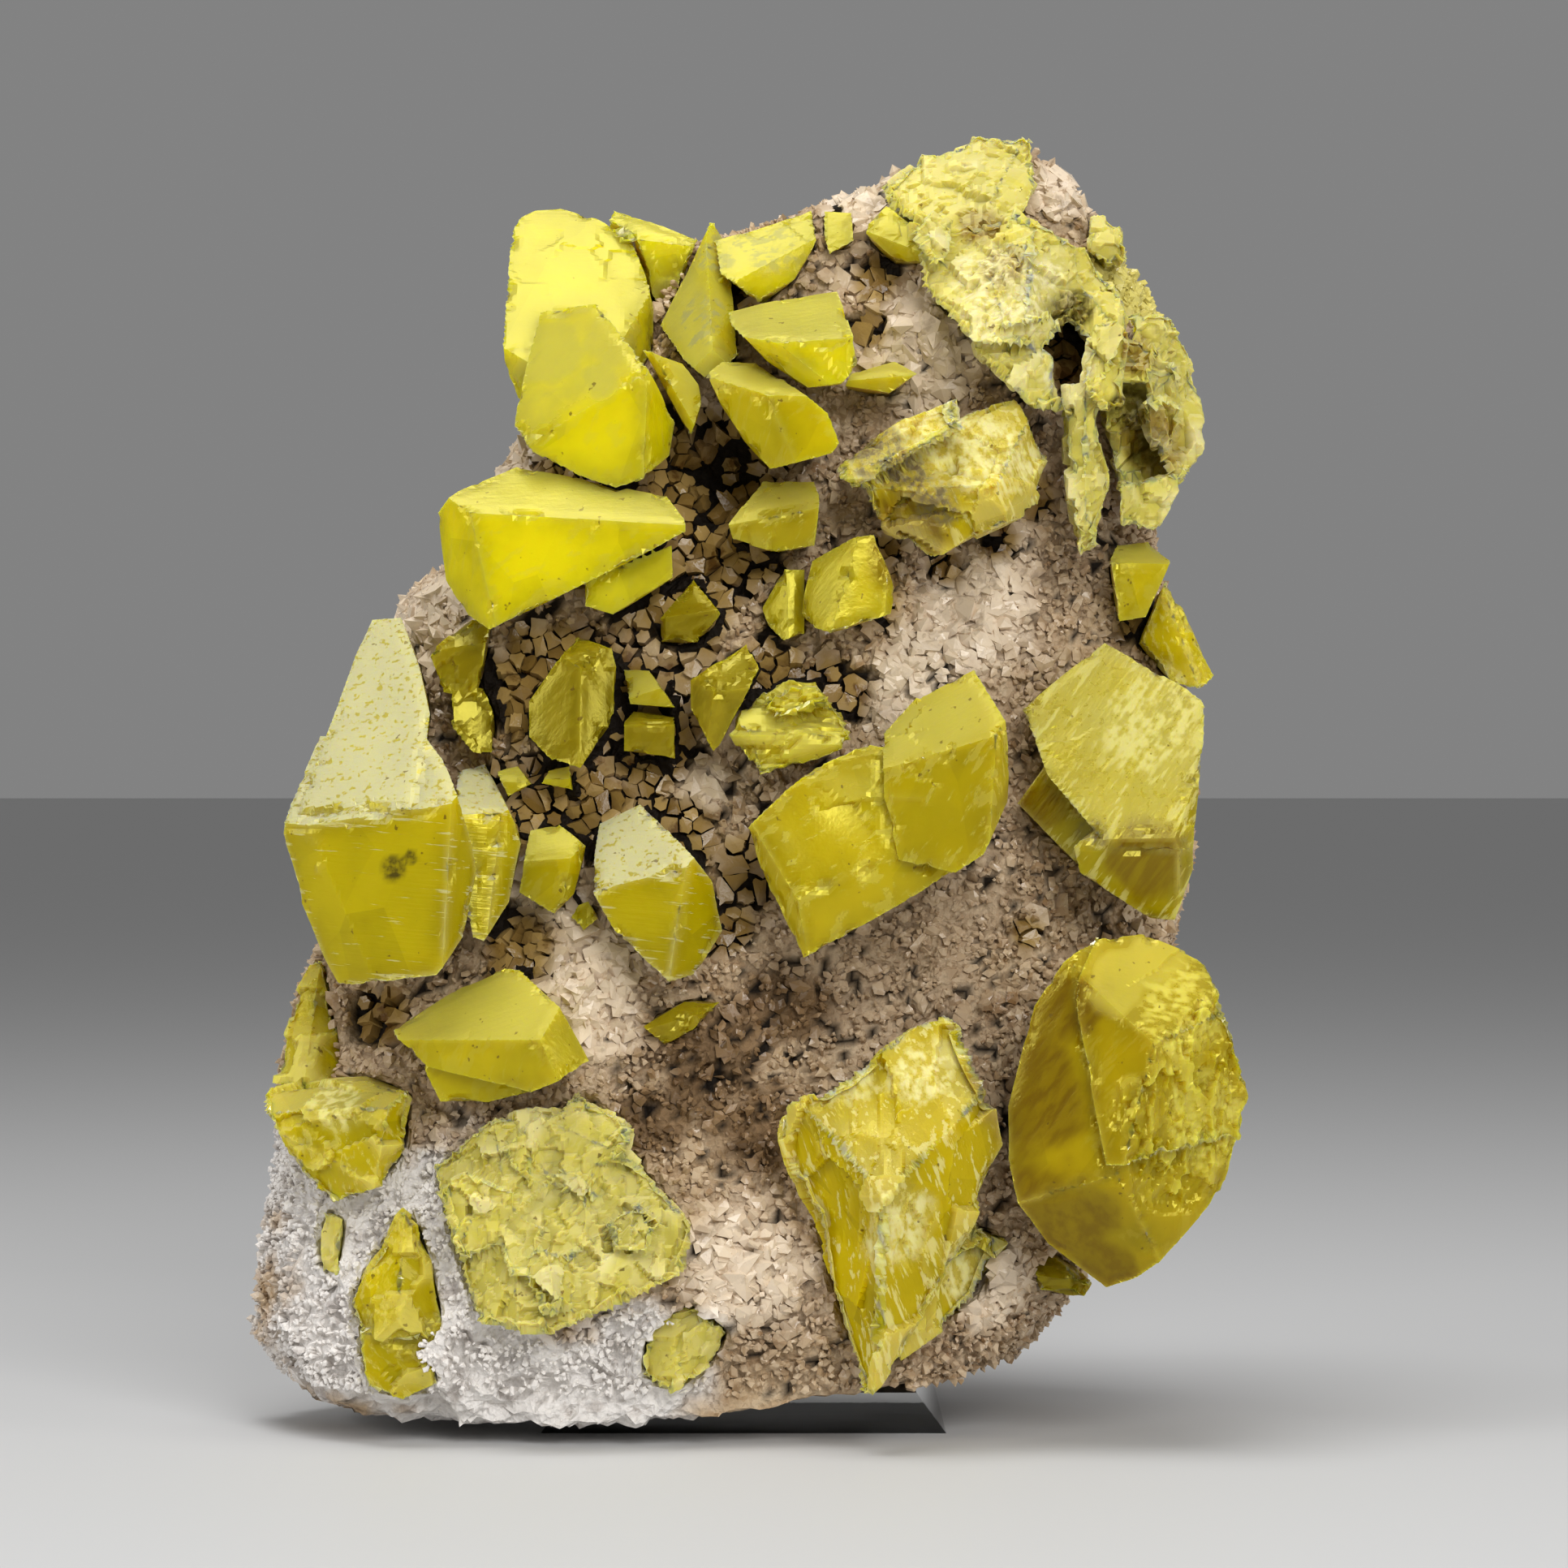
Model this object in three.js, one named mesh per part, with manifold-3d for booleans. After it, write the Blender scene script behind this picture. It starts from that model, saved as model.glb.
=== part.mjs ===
// A sulfur and aragonite specimen that stands on a small clear block.
// Millimetres, +Z up, with the front of the specimen towards -Y.
// The origin is on the table, under the middle of the specimen's box.
import * as THREE from 'three';
import { ConvexGeometry } from 'three/addons/geometries/ConvexGeometry.js';
import { ImprovedNoise } from 'three/addons/math/ImprovedNoise.js';
import { mergeVertices } from 'three/addons/utils/BufferGeometryUtils.js';
import Module from 'manifold-3d';

// The clear block
const BLOCK_WIDTH = 50;
const BLOCK_DEPTH = 50;
const BLOCK_HEIGHT = 5;
const BLOCK_BEVEL = 3.7;
const BLOCK_MIDDLE_X = -5;

// Outlines of crystals are given as x, z on an upright plane through the block's front edge, as an eye
// sees them that looks straight at the specimen from this far in front of the plane and this high.
const EYE_DISTANCE = 675;
const EYE_HEIGHT = 80;

// Fits
const GAP = 0.3;
const UNDERSIDE_HEIGHT = 1.8;
const UNDERSIDE_RISE = 7.5;
const UNDERSIDE_LOW_X = -20;
const CUT_WIDTH = 300;
const CUT_THICKNESS = 40;
const ROOT_DEPTH = 7;
const ROOT_TAPER = 70;

// The root of a crystal at the rock's edge, which shows from behind: where its faces start and meet, as
// shares of its depth, and the ways that they look round the crystal, in degrees.
const ROOT_START = 0.35;
const ROOT_POINT = 1.1;
const ROOT_WAYS = [75, 200, 310];

// Broken grains: corners of each, the turn from one to the next, how much their size varies, and how far
// their faces turn from the face that they stand on.
const GRAIN_CORNERS = 5;
const GRAIN_TURN = 2.399;
const GRAIN_LEAST = 0.7;
const GRAIN_VARIES = 0.6;
const GRAIN_TILT = 60;
const GRAIN_STEEP_TILT = 90;
const GRAIN_STEEP_LEAN = 70;

const wasm = await Module();
wasm.setup();

const noise = new ImprovedNoise();
const eye = new THREE.Vector3(0, -EYE_DISTANCE, EYE_HEIGHT);

// The point at depth y that the eye sees at x, z of the upright plane.
function seen(x, y, z) {
  const spread = (y + EYE_DISTANCE) / EYE_DISTANCE;
  return new THREE.Vector3(x * spread, y, EYE_HEIGHT + (z - EYE_HEIGHT) * spread);
}

// A seeded stream of numbers from 0 to 1.
function randomFrom(seed) {
  let state = seed;
  return () => {
    state = (state * 1664525 + 1013904223) % 4294967296;
    return state / 4294967296;
  };
}

// A solid from a closed geometry.
function solid(geometry) {
  const bare = geometry.clone();
  bare.deleteAttribute('normal');
  bare.deleteAttribute('uv');
  const merged = mergeVertices(bare, 1e-4);
  return new wasm.Manifold(new wasm.Mesh({
    numProp: 3,
    vertProperties: new Float32Array(merged.attributes.position.array),
    triVerts: new Uint32Array(merged.index.array),
  }));
}

// The geometry of a solid.
function geometryOf(made) {
  const { vertProperties, triVerts } = made.getMesh();
  const geometry = new THREE.BufferGeometry();
  geometry.setAttribute('position', new THREE.BufferAttribute(vertProperties, 3));
  geometry.setIndex(new THREE.BufferAttribute(triVerts, 1));
  return geometry;
}

// Faces of a crystal

// The face through the edge from a to b, turned about that edge by tilt degrees from facing the eye.
// A positive tilt leans it back on the left of the way from a to b: above an edge that runs to the right.
function slope(a, b, tilt) {
  const start = seen(...a);
  const along = seen(...b).sub(start).normalize();
  const toEye = eye.clone().sub(start).projectOnPlane(along).normalize();
  const aside = toEye.clone().cross(along);
  const turn = THREE.MathUtils.degToRad(tilt);
  const normal = toEye.multiplyScalar(Math.cos(turn)).addScaledVector(aside, Math.sin(turn));
  return new THREE.Plane().setFromNormalAndCoplanarPoint(normal, start);
}

// The two faces that meet in the edge from a to b.
function ridge(a, b, above, below) {
  return [slope(a, b, above), slope(a, b, below)];
}

// The face through a point that looks turn degrees to the right and lean degrees up.
function facing(at, turn, lean) {
  const side = THREE.MathUtils.degToRad(turn);
  const up = THREE.MathUtils.degToRad(lean);
  const normal = new THREE.Vector3(
    Math.sin(side) * Math.cos(up),
    -Math.cos(side) * Math.cos(up),
    Math.sin(up),
  );
  return new THREE.Plane().setFromNormalAndCoplanarPoint(normal, seen(...at));
}

// Where the eye's ray through x, z of the upright plane enters the solid behind the front faces.
function onFaces(x, z, faces) {
  const ray = new THREE.Ray(eye.clone(), seen(x, 0, z).sub(eye).normalize());
  const entries = faces
    .filter((face) => face.normal.dot(ray.direction) < 0)
    .map((face) => ray.distanceToPlane(face) ?? 0);
  return ray.at(Math.max(...entries), new THREE.Vector3());
}

// The point where three planes meet, or null where they don't.
function meeting(p, q, r) {
  const cross = q.normal.clone().cross(r.normal);
  const det = p.normal.dot(cross);
  if (Math.abs(det) < 1e-6) return null;
  return cross.multiplyScalar(-p.constant)
    .addScaledVector(r.normal.clone().cross(p.normal), -q.constant)
    .addScaledVector(p.normal.clone().cross(q.normal), -r.constant)
    .divideScalar(det);
}

// The convex solid inside all of the planes, each moved out by grow.
function solidWithin(planes, grow) {
  const walls = planes.map((plane) => new THREE.Plane(plane.normal, plane.constant - grow));
  const corners = [];
  for (let i = 0; i < walls.length; i += 1) {
    for (let j = i + 1; j < walls.length; j += 1) {
      for (let k = j + 1; k < walls.length; k += 1) {
        const corner = meeting(walls[i], walls[j], walls[k]);
        if (!corner) continue;
        if (walls.some((wall) => wall.distanceToPoint(corner) > 1e-4)) continue;
        if (corners.some((other) => other.distanceTo(corner) < 0.02)) continue;
        corners.push(corner);
      }
    }
  }
  return solid(new ConvexGeometry(corners));
}

// The corners of a rim that stand out, in order round it: a crystal is convex.
function standingOut(rim) {
  const sorted = [...rim].sort((a, b) => a[0] - b[0] || a[1] - b[1]);
  const chain = (points) => points.reduce((kept, p) => {
    while (kept.length > 1) {
      const [a, b] = kept.slice(-2);
      const turn = (b[0] - a[0]) * (p[1] - a[1]) - (b[1] - a[1]) * (p[0] - a[0]);
      if (turn > 0) break;
      kept.pop();
    }
    kept.push(p);
    return kept;
  }, []).slice(0, -1);
  return [...chain(sorted), ...chain(sorted.reverse())];
}

// The faces of a blunt point that ends a crystal of this depth behind its deepest corner.
function rootFaces(corners, middle, deepest, depth) {
  return ROOT_WAYS.map((angle) => {
    const turn = THREE.MathUtils.degToRad(angle);
    const way = new THREE.Vector3(Math.cos(turn), 0, Math.sin(turn));
    const reach = Math.max(...corners.map((corner) => corner.clone().sub(middle).dot(way)));
    const start = middle.clone().addScaledVector(way, reach);
    start.y = deepest + depth * ROOT_START;
    const point = new THREE.Vector3(middle.x, deepest + depth * ROOT_POINT, middle.z);
    const along = new THREE.Vector3(0, 1, 0).cross(way);
    const face = new THREE.Plane().setFromCoplanarPoints(start, point, start.clone().add(along));
    return face.normal.y > 0 ? face : face.negate();
  });
}

// The planes of one crystal: its front faces, a side along each edge of the rim that narrows towards
// the root, and a root in the rock: flat, or pointed where a depth is given.
function crystalPlanes({ rim, faces, root }) {
  const corners = standingOut(rim).map(([x, z]) => onFaces(x, z, faces));
  const deepest = Math.max(...corners.map((corner) => corner.y));
  const middle = new THREE.Vector3();
  corners.forEach((corner) => middle.addScaledVector(corner, 1 / corners.length));
  const heart = middle.clone();
  heart.y += 0.5;
  const tip = middle.clone();
  tip.y = deepest + ROOT_TAPER;
  const sides = corners.map((corner, i) => {
    const next = corners[(i + 1) % corners.length];
    const side = new THREE.Plane().setFromCoplanarPoints(corner, next, tip);
    return side.distanceToPoint(heart) > 0 ? side.negate() : side;
  });
  if (root) return [...faces, ...sides, ...rootFaces(corners, middle, deepest, root)];
  return [...faces, ...sides, new THREE.Plane(new THREE.Vector3(0, 1, 0), -(deepest + ROOT_DEPTH))];
}

// Crystals grown together as one solid, and the socket that keeps the gap round them.
function grown(name, pieces) {
  const all = pieces.map(crystalPlanes);
  const body = all.map((planes) => solidWithin(planes, 0)).reduce((a, b) => a.add(b));
  const socket = all.map((planes) => solidWithin(planes, GAP)).reduce((a, b) => a.add(b));
  if (body.decompose().length > 1) throw new Error(`${name} isn't grown together`);
  return { body, socket };
}

// Broken grains of a granular mass, scattered over a patch that looks the way of its front face.
function grains({ middle, spread, size, count, seed, turn, lean, proud }) {
  const random = randomFrom(seed);
  return Array.from({ length: count }, (_, i) => {
    const around = i * GRAIN_TURN + random();
    const out = Math.sqrt((i + 0.5) / count);
    const x = middle[0] + Math.cos(around) * out * spread[0];
    const z = middle[2] + Math.sin(around) * out * spread[1];
    const depth = onFaces(x, z, [facing(middle, turn, lean)]).y - proud * random();
    const radius = size * (GRAIN_LEAST + GRAIN_VARIES * random());
    const rim = Array.from({ length: GRAIN_CORNERS }, (__, corner) => {
      const angle = ((corner + 0.7 * random()) * 2 * Math.PI) / GRAIN_CORNERS;
      return [x + Math.cos(angle) * radius, z + Math.sin(angle) * radius];
    });
    const aside = (range) => range * (random() - 0.5);
    const faces = [
      facing([x, depth, z], turn + aside(GRAIN_TILT), lean + aside(GRAIN_TILT)),
      facing([x, depth, z], turn + aside(GRAIN_STEEP_TILT), lean + aside(GRAIN_STEEP_LEAN)),
    ];
    return { rim, faces };
  });
}

// The sulfur, each entry one node: crystals grown together share an entry.

const SULFUR = {
  sulfur_tall_pair: [
    {
      rim: [[-33.4, 148.5], [-32.5, 149.9], [-30.7, 150.8], [-27.4, 151], [-23, 149.7], [-18.9, 147.5],
        [-17.1, 143.4], [-15.9, 138.6], [-15.9, 133.8], [-22, 122], [-32.9, 127.4], [-34.5, 131.3],
        [-34.6, 135.4], [-33.9, 145.6]],
      faces: [facing([-26, 5, 138], 0, 38), facing([-19, 3.5, 138], 55, 0), facing([-34, 2, 131], -35, -15)],
      root: 14,
    },
    {
      rim: [[-30.1, 138.3], [-22.9, 139.4], [-18.7, 133.8], [-14.9, 128.1], [-13.3, 124.6], [-14, 120.4],
        [-17.5, 117.4], [-20.7, 116.4], [-25.4, 118], [-30.9, 120.7], [-33.3, 124.2], [-32.8, 127.4],
        [-31.5, 131.3]],
      faces: [...ridge([-31.5, -7, 122], [-19.7, -9, 129], 40, 3), facing([-16, -7.5, 123], 50, -5)],
    },
  ],
  sulfur_wedge: [
    {
      rim: [[-21.9, 149.1], [-21, 150.9], [-14.3, 148.5], [-10.5, 147.2], [-12, 144.6], [-14.6, 137.5],
        [-17, 141.5]],
      faces: ridge([-20.6, 12, 147.5], [-11, 10, 146.3], 50, 5),
    },
  ],
  sulfur_top_pair: [
    {
      rim: [[-10.3, 146.9], [-8.9, 149.4], [-7.5, 147.3], [-6.2, 140], [-5.3, 132.8], [-9.8, 130],
        [-12.4, 132.2], [-15.4, 136.5], [-11.7, 143.7]],
      faces: [...ridge([-8.8, -3, 133.5], [-9.3, 2, 142], 35, -35), facing([-9, -3, 134], -5, -15)],
    },
    {
      rim: [[-8.5, 147], [-1.5, 147.5], [3.4, 150.7], [4.2, 146.9], [1.3, 142.1], [-3.1, 139.2], [-7.9, 143]],
      faces: [facing([-2, 2, 144.5], -8, 38), facing([-2, 1.7, 144], 18, -2)],
    },
  ],
  sulfur_small_top: [
    {
      rim: [[4.9, 150.7], [8.4, 150.5], [8.7, 146.9], [5.6, 145.3], [4.9, 147.5]],
      faces: [facing([6.5, 5, 148], 0, 30)],
    },
  ],
  sulfur_upper_block: [
    {
      rim: [[-6.9, 138.3], [0.1, 139.9], [6.6, 140.8], [7.7, 137.9], [9.2, 131.6], [7.1, 129.2], [2.9, 128.7],
        [-2.2, 132.2], [-6.6, 136.7]],
      faces: [
        ...ridge([-0.9, -12, 134.4], [7.6, -13, 135.1], 60, 8),
        slope([-0.9, -12, 134.4], [2.9, -11, 128.7], -40),
      ],
    },
  ],
  sulfur_lower_block: [
    {
      rim: [[-9.7, 130.6], [-7.6, 132.2], [-3.4, 132.2], [1.8, 128.6], [5.4, 125.8], [6.9, 122], [6, 120.7],
        [-1.7, 118.7], [-5, 122.3], [-7.9, 126.8]],
      faces: [
        ...ridge([-2.2, -12, 128], [3.6, -13, 127.8], 60, 8),
        slope([-2.2, -12, 128], [-1.7, -11, 118.7], -35),
      ],
    },
  ],
  sulfur_blade: [
    {
      rim: [[-17.4, 133.5], [-12.4, 131.9], [-10.5, 129.3], [-10.1, 127.1], [-11.4, 123], [-12.4, 124.5],
        [-15.6, 130.3]],
      faces: ridge([-15, -4, 131], [-11.5, -6, 125], 35, -40),
    },
  ],
  sulfur_rust_crystal: [
    {
      rim: [[10.3, 149.1], [12.6, 151.3], [16.2, 148.8], [17.3, 144.3], [13.9, 144.3], [10.1, 147.8]],
      faces: ridge([10.5, 1, 148], [17, -1, 145.5], 35, -15),
    },
  ],
  sulfur_low_wedge: [
    {
      rim: [[8.2, 130.6], [13.6, 132.2], [16.5, 130.6], [13, 128.1], [7.5, 129]],
      faces: ridge([8.2, -3, 129.8], [16, -4, 130.4], 60, -5),
    },
  ],
  sulfur_top_mass: [
    {
      rim: [[11.9, 154], [16.4, 157.5], [23.9, 160.2], [30.9, 159.8], [31.7, 155], [28.4, 146.5],
        [20.4, 145.5], [14.4, 147.5]],
      faces: [facing([22, 3, 152], -5, 38), facing([22, 2, 154], 25, 25)],
    },
    {
      rim: [[16.4, 146.5], [28.4, 151.5], [36.4, 146.5], [37.9, 139.5], [32.4, 133.5], [23.4, 134.5],
        [16.9, 141.5]],
      faces: [facing([27, -6, 142], -10, 28), facing([31, -6, 141], 22, 12)],
    },
    {
      rim: [[32.4, 147.5], [37.4, 146.5], [41.9, 141.5], [43.4, 134.5], [40.4, 132.5], [35.4, 136.5],
        [32.4, 142.5]],
      faces: [facing([37, -4, 141], 28, 22), facing([36, -4, 139], 5, 5)],
      root: 14,
    },
    {
      rim: [[37.4, 136.5], [40.9, 137.5], [42.9, 134.5], [42.4, 126.5], [39.4, 125.5], [36.4, 129.5]],
      faces: [facing([39.5, -10, 131], -20, 15), facing([39.5, -10, 130], 20, -5)],
    },
    {
      rim: [[42.4, 138.5], [47.9, 138], [50.9, 131.5], [52.2, 126.5], [51.4, 120.5], [49, 116.3],
        [46.4, 120.5], [45, 129.5]],
      faces: [facing([47.5, 0, 128], 35, 8), facing([46.5, 0, 132], 5, 15)],
      root: 18,
    },
    {
      rim: [[39.1, 133.2], [45.8, 133.2], [47.4, 117.9], [41, 117.2], [39.1, 126.5]],
      faces: [facing([43, 3, 125], 5, 0)],
    },
    {
      rim: [[41, 117.6], [50.3, 119.4], [49, 116.3], [46.8, 112.5], [46.1, 111.1], [41.3, 111.8]],
      faces: [...ridge([41, -4, 117], [50, -2, 118.5], 50, -10)],
      root: 12,
    },
    {
      rim: [[22.9, 135.4], [30.4, 136], [33.4, 132.5], [34.4, 126], [30.9, 126], [23.4, 133.5]],
      faces: [facing([29, -8, 132], -12, 35), facing([30, -8, 130], 15, 5)],
    },
    {
      rim: [[17.4, 143.5], [23.4, 142.5], [27.4, 136.5], [22.9, 135.4], [18.9, 139.5]],
      faces: [facing([22, -3, 140], -15, 15)],
    },
    {
      rim: [[34, 129.3], [38.3, 129.3], [40.1, 119.7], [40.6, 117.5], [38.8, 108.9], [36.6, 108.1],
        [35.2, 114.6], [34, 125.5]],
      faces: [
        facing([37.2, -8, 119], -30, 4),
        facing([37.2, -8, 119], 32, 4),
        facing([37.2, -8, 112], 0, -15),
      ],
    },
    ...grains({
      middle: [25, -4, 146],
      spread: [9, 8],
      size: 4.2,
      count: 3,
      seed: 5,
      turn: 0,
      lean: 32,
      proud: 2,
    }),
    ...grains({
      middle: [45, -1, 130],
      spread: [3.5, 7],
      size: 3.6,
      count: 3,
      seed: 21,
      turn: 20,
      lean: 10,
      proud: 2,
    }),
  ],
  sulfur_top_knob: [
    {
      rim: [[37.9, 150], [39.4, 150.3], [41.9, 149], [42.4, 144.5], [39.9, 143.5], [37.4, 146]],
      faces: ridge([37.5, 6, 147], [42.5, 7, 146.5], 40, -5),
      root: 10,
    },
  ],
  sulfur_broken_crystal: [
    {
      rim: [[6.3, 118.8], [11.4, 123.3], [21.3, 127.4], [22, 124], [13.4, 118.5], [8.4, 116]],
      faces: [facing([13, -12, 121], -25, 40), facing([13, -12.3, 120], 0, -5)],
    },
    {
      rim: [[8.8, 116.6], [14.4, 120.5], [21.4, 125.5], [28.3, 127.1], [32.6, 120.4], [30.8, 114],
        [27, 111.8], [18.1, 107.9], [12.6, 111.1]],
      faces: [...ridge([9, -9, 116.5], [30, -13, 117], 38, -18), facing([29, -9, 118], 50, 0)],
    },
  ],
  sulfur_edge_block: [
    {
      rim: [[41, 109.5], [44.9, 109.9], [47.7, 107.6], [44.6, 100.5], [41.3, 100], [40.1, 107.6]],
      faces: ridge([40.5, -1, 107.3], [47.5, 1, 107.1], 55, 3),
      root: 12,
    },
  ],
  sulfur_long_crystal: [
    {
      rim: [[-42.8, 113.4], [-40.1, 116.2], [-33, 119.2], [-31, 118.6], [-22.7, 115.4], [-14.4, 115.6],
        [-12.2, 112.7], [-12, 111.1], [-19.5, 107], [-36.4, 98.9], [-39.3, 100.9], [-41.8, 105.1]],
      faces: [...ridge([-38.8, -10, 113.5], [-13, -12, 112], 50, 5),
        slope([-38.8, -10, 113.5], [-36.6, -10, 100.5], -45)],
    },
    {
      rim: [[-24.6, 104.8], [-13.8, 109.5], [-13.6, 105.4], [-21.1, 100.9], [-24.6, 101.9]],
      faces: [facing([-18, -6, 104.5], 10, -8)],
    },
  ],
  sulfur_dim_diamond: [
    {
      rim: [[-15.4, 100.4], [-11.2, 105.4], [-7.7, 100.9], [-10.6, 97.4], [-15.2, 97.4]],
      faces: ridge([-15, -3, 100.5], [-8, -4, 101.5], 30, -5),
    },
  ],
  sulfur_olive_crystal: [
    {
      rim: [[-31.5, 90.2], [-25.5, 98.5], [-21, 96.9], [-20.5, 94.4], [-20.7, 88.6], [-25, 81.9],
        [-28.7, 82.9], [-31.5, 85.8]],
      faces: [...ridge([-25.2, -10, 85], [-25, -9, 95], 22, -28), facing([-25.5, -10, 93], 0, 35)],
    },
  ],
  sulfur_dim_cube: [
    {
      rim: [[-19.7, 87.7], [-18.5, 89], [-13.4, 88.4], [-13.4, 83.1], [-19.8, 84]],
      faces: ridge([-20, -7, 87.3], [-13.5, -7, 87.4], 60, 0),
    },
  ],
  sulfur_clear_prism: [
    {
      rim: [[-19.8, 94.2], [-16.6, 94], [-13.4, 89.4], [-19, 89.8]],
      faces: ridge([-19.6, -6, 90.5], [-14.5, -6.5, 92], 40, -5),
    },
  ],
  sulfur_olive_blade: [
    {
      rim: [[-11.6, 92.8], [-4.6, 97.4], [-3, 94.2], [-7.9, 88.6], [-7.8, 84.8], [-8.7, 83.9], [-11.6, 89.3]],
      faces: [
        facing([-7.5, -13, 91.5], 8, 28),
        facing([-9, -13, 90.5], -38, 0),
        facing([-8, -13, 90.5], 12, -8),
      ],
    },
  ],
  sulfur_ledged_crystal: [
    {
      rim: [[-7, 87.4], [-3.6, 90.9], [0.8, 92.8], [4, 92.8], [7.8, 88.3], [8.5, 86.4], [7.2, 83.7],
        [-3, 80.8], [-6.2, 84.8]],
      faces: [...ridge([-6.6, -14, 87], [7.4, -15, 86], 48, 5), facing([-5, -13.5, 85], -40, -5)],
    },
    {
      rim: [[-3.2, 90.5], [0.8, 92.4], [4, 92.2], [6, 89.7], [-0.6, 88]],
      faces: [facing([2, -13.5, 90], 0, 30)],
    },
  ],
  sulfur_bright_block: [
    {
      rim: [[1.9, 101], [3.4, 107.5], [8.5, 110.5], [11.1, 110.8], [13.9, 103.8], [13.3, 100.9], [6, 98.5],
        [3.4, 99.3]],
      faces: [...ridge([6, -12, 99.5], [8.7, -11, 109], 38, -8), facing([12, -11.5, 104], 50, 0)],
    },
    {
      rim: [[-2.8, 101.7], [-0.1, 106.5], [2.6, 106.5], [2.6, 98.5], [-0.1, 97.6], [-2.1, 99.5]],
      faces: [...ridge([0.6, -5, 98.5], [0.3, -4, 105.5], 30, -15)],
    },
  ],
  sulfur_etched_block: [
    {
      rim: [[-6.9, 112.1], [-2.6, 117.4], [3.7, 117.3], [4.4, 115.5], [3.9, 109.3], [-0.7, 108.4],
        [-6.4, 110.2]],
      faces: [...ridge([-6.5, -6, 112], [4, -8, 114], 45, -2)],
    },
  ],
  sulfur_doublet: [
    {
      rim: [[-4.6, 74.6], [-0.1, 79.1], [4, 82.3], [10.1, 85.1], [17.4, 83.5], [23.4, 70.5], [14.9, 65.4],
        [8.5, 62.2], [2.4, 58.5], [-0.1, 63.5], [-2.4, 68.2]],
      faces: [facing([8, -19, 72], -4, 12), facing([-1, -18.5, 69], -42, -12), facing([8, -19.4, 66], 5, -6)],
    },
    {
      rim: [[12.3, 86.7], [15.5, 90.2], [23.4, 94.2], [26.2, 89.1], [27.4, 87.5], [27.9, 82.4], [27.7, 77.9],
        [24.6, 71.2], [21.1, 69], [14, 70.5], [12.3, 78]],
      faces: [...ridge([12.5, -20, 82], [26.8, -25, 86.2], 45, 3), facing([27, -23, 80], 50, -5)],
    },
  ],
  sulfur_big_left: [
    {
      rim: [[-60, 76.5], [-52.9, 95.7], [-50.8, 100.3], [-47.1, 100.6], [-44.9, 94.4], [-43.6, 88.6],
        [-44.2, 84], [-46, 77]],
      faces: [slope([-62, -15.4, 74.5], [-41, -21.4, 77.6], 46)],
      root: 10,
    },
    {
      rim: [[-62, 74.3], [-60.1, 79.4], [-57.2, 86], [-44, 85.6], [-42, 83], [-38.5, 73], [-37.7, 69.5],
        [-39.5, 61.2], [-42.8, 56.4], [-54.8, 55.1], [-56.7, 58.6], [-59.6, 65.5]],
      faces: [...ridge([-62, -15, 74.5], [-41, -21, 77.6], 46, 3),
        slope([-41, -21, 77.6], [-40, -19, 61.5], 45), facing([-56, -16.5, 66], -28, -5)],
      root: 16,
    },
    {
      rim: [[-40.5, 81.6], [-36.9, 82.7], [-35.2, 77.8], [-33.1, 75.2], [-32.3, 72.7], [-33.8, 65.4],
        [-36.9, 60.6], [-38.9, 61.2], [-39.6, 68.9], [-40.5, 75.9]],
      faces: [...ridge([-40, -13, 76.3], [-33.5, -12, 76.5], 58, 5), facing([-34, -11.5, 70], 45, 0)],
    },
  ],
  sulfur_amber_cluster: [
    {
      rim: [[-43.9, 96.2], [-38.5, 100.4], [-36, 100.1], [-37.9, 90.6], [-42, 91.2]],
      faces: ridge([-43.5, -3, 96.5], [-36.5, -4, 97.5], 45, 5),
      root: 10,
    },
    {
      rim: [[-41, 91.5], [-37, 92], [-35.6, 88.5], [-35.8, 83.8], [-38.3, 83.8], [-41, 87]],
      faces: [facing([-38, -4, 88], 12, 12)],
      root: 10,
    },
  ],
  sulfur_small_a: [
    {
      rim: [[-35.4, 81.6], [-32.8, 82.3], [-31, 80], [-34, 78.4]],
      faces: ridge([-35.5, -6, 80.3], [-31, -6, 80.2], 45, -5),
    },
  ],
  sulfur_small_b: [
    {
      rim: [[-30, 80], [-29, 81.8], [-26.4, 82.3], [-25.9, 79.1]],
      faces: ridge([-30, -6, 80.6], [-26, -6.5, 80.8], 45, -5),
    },
  ],
  sulfur_round_crystal: [
    {
      rim: [[-31.3, 74.3], [-27.7, 75.1], [-24.3, 72.4], [-25.8, 66.4], [-28.3, 63.8], [-32.8, 66.6],
        [-32, 69.8]],
      faces: [...ridge([-32, -10, 70.5], [-24.5, -11, 71], 35, 0), facing([-26.3, -10.5, 69], 42, -8)],
    },
  ],
  sulfur_tiny: [
    {
      rim: [[-25.4, 65.2], [-24.1, 65.6], [-22.8, 63.4], [-24.6, 61.9], [-26.4, 63.6]],
      faces: [facing([-24.6, -8, 63.8], 0, 15)],
    },
  ],
  sulfur_white_top: [
    {
      rim: [[-23.7, 66.6], [-23.4, 71.4], [-22.8, 75.2], [-17.7, 77.6], [-14.2, 74.3], [-8.7, 67.9],
        [-7.5, 61.9], [-10.7, 56.6], [-14.2, 55.5], [-20.9, 61.7]],
      faces: [...ridge([-23.7, -15, 66.8], [-11.6, -18, 69.9], 46, 2), facing([-12.5, -17.2, 64], 42, -8)],
    },
  ],
  sulfur_kite: [
    {
      rim: [[-48.3, 49.7], [-39.8, 55.1], [-34.4, 57.5], [-32.5, 57.2], [-27.4, 52.3], [-24, 45.9],
        [-31.2, 41.9], [-36.6, 44], [-44, 45.1], [-47.8, 48.7]],
      faces: [...ridge([-47.8, -16, 48.5], [-31, -23, 48.5], 42, -12), facing([-28.5, -22, 49.5], 38, 15)],
    },
    {
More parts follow.
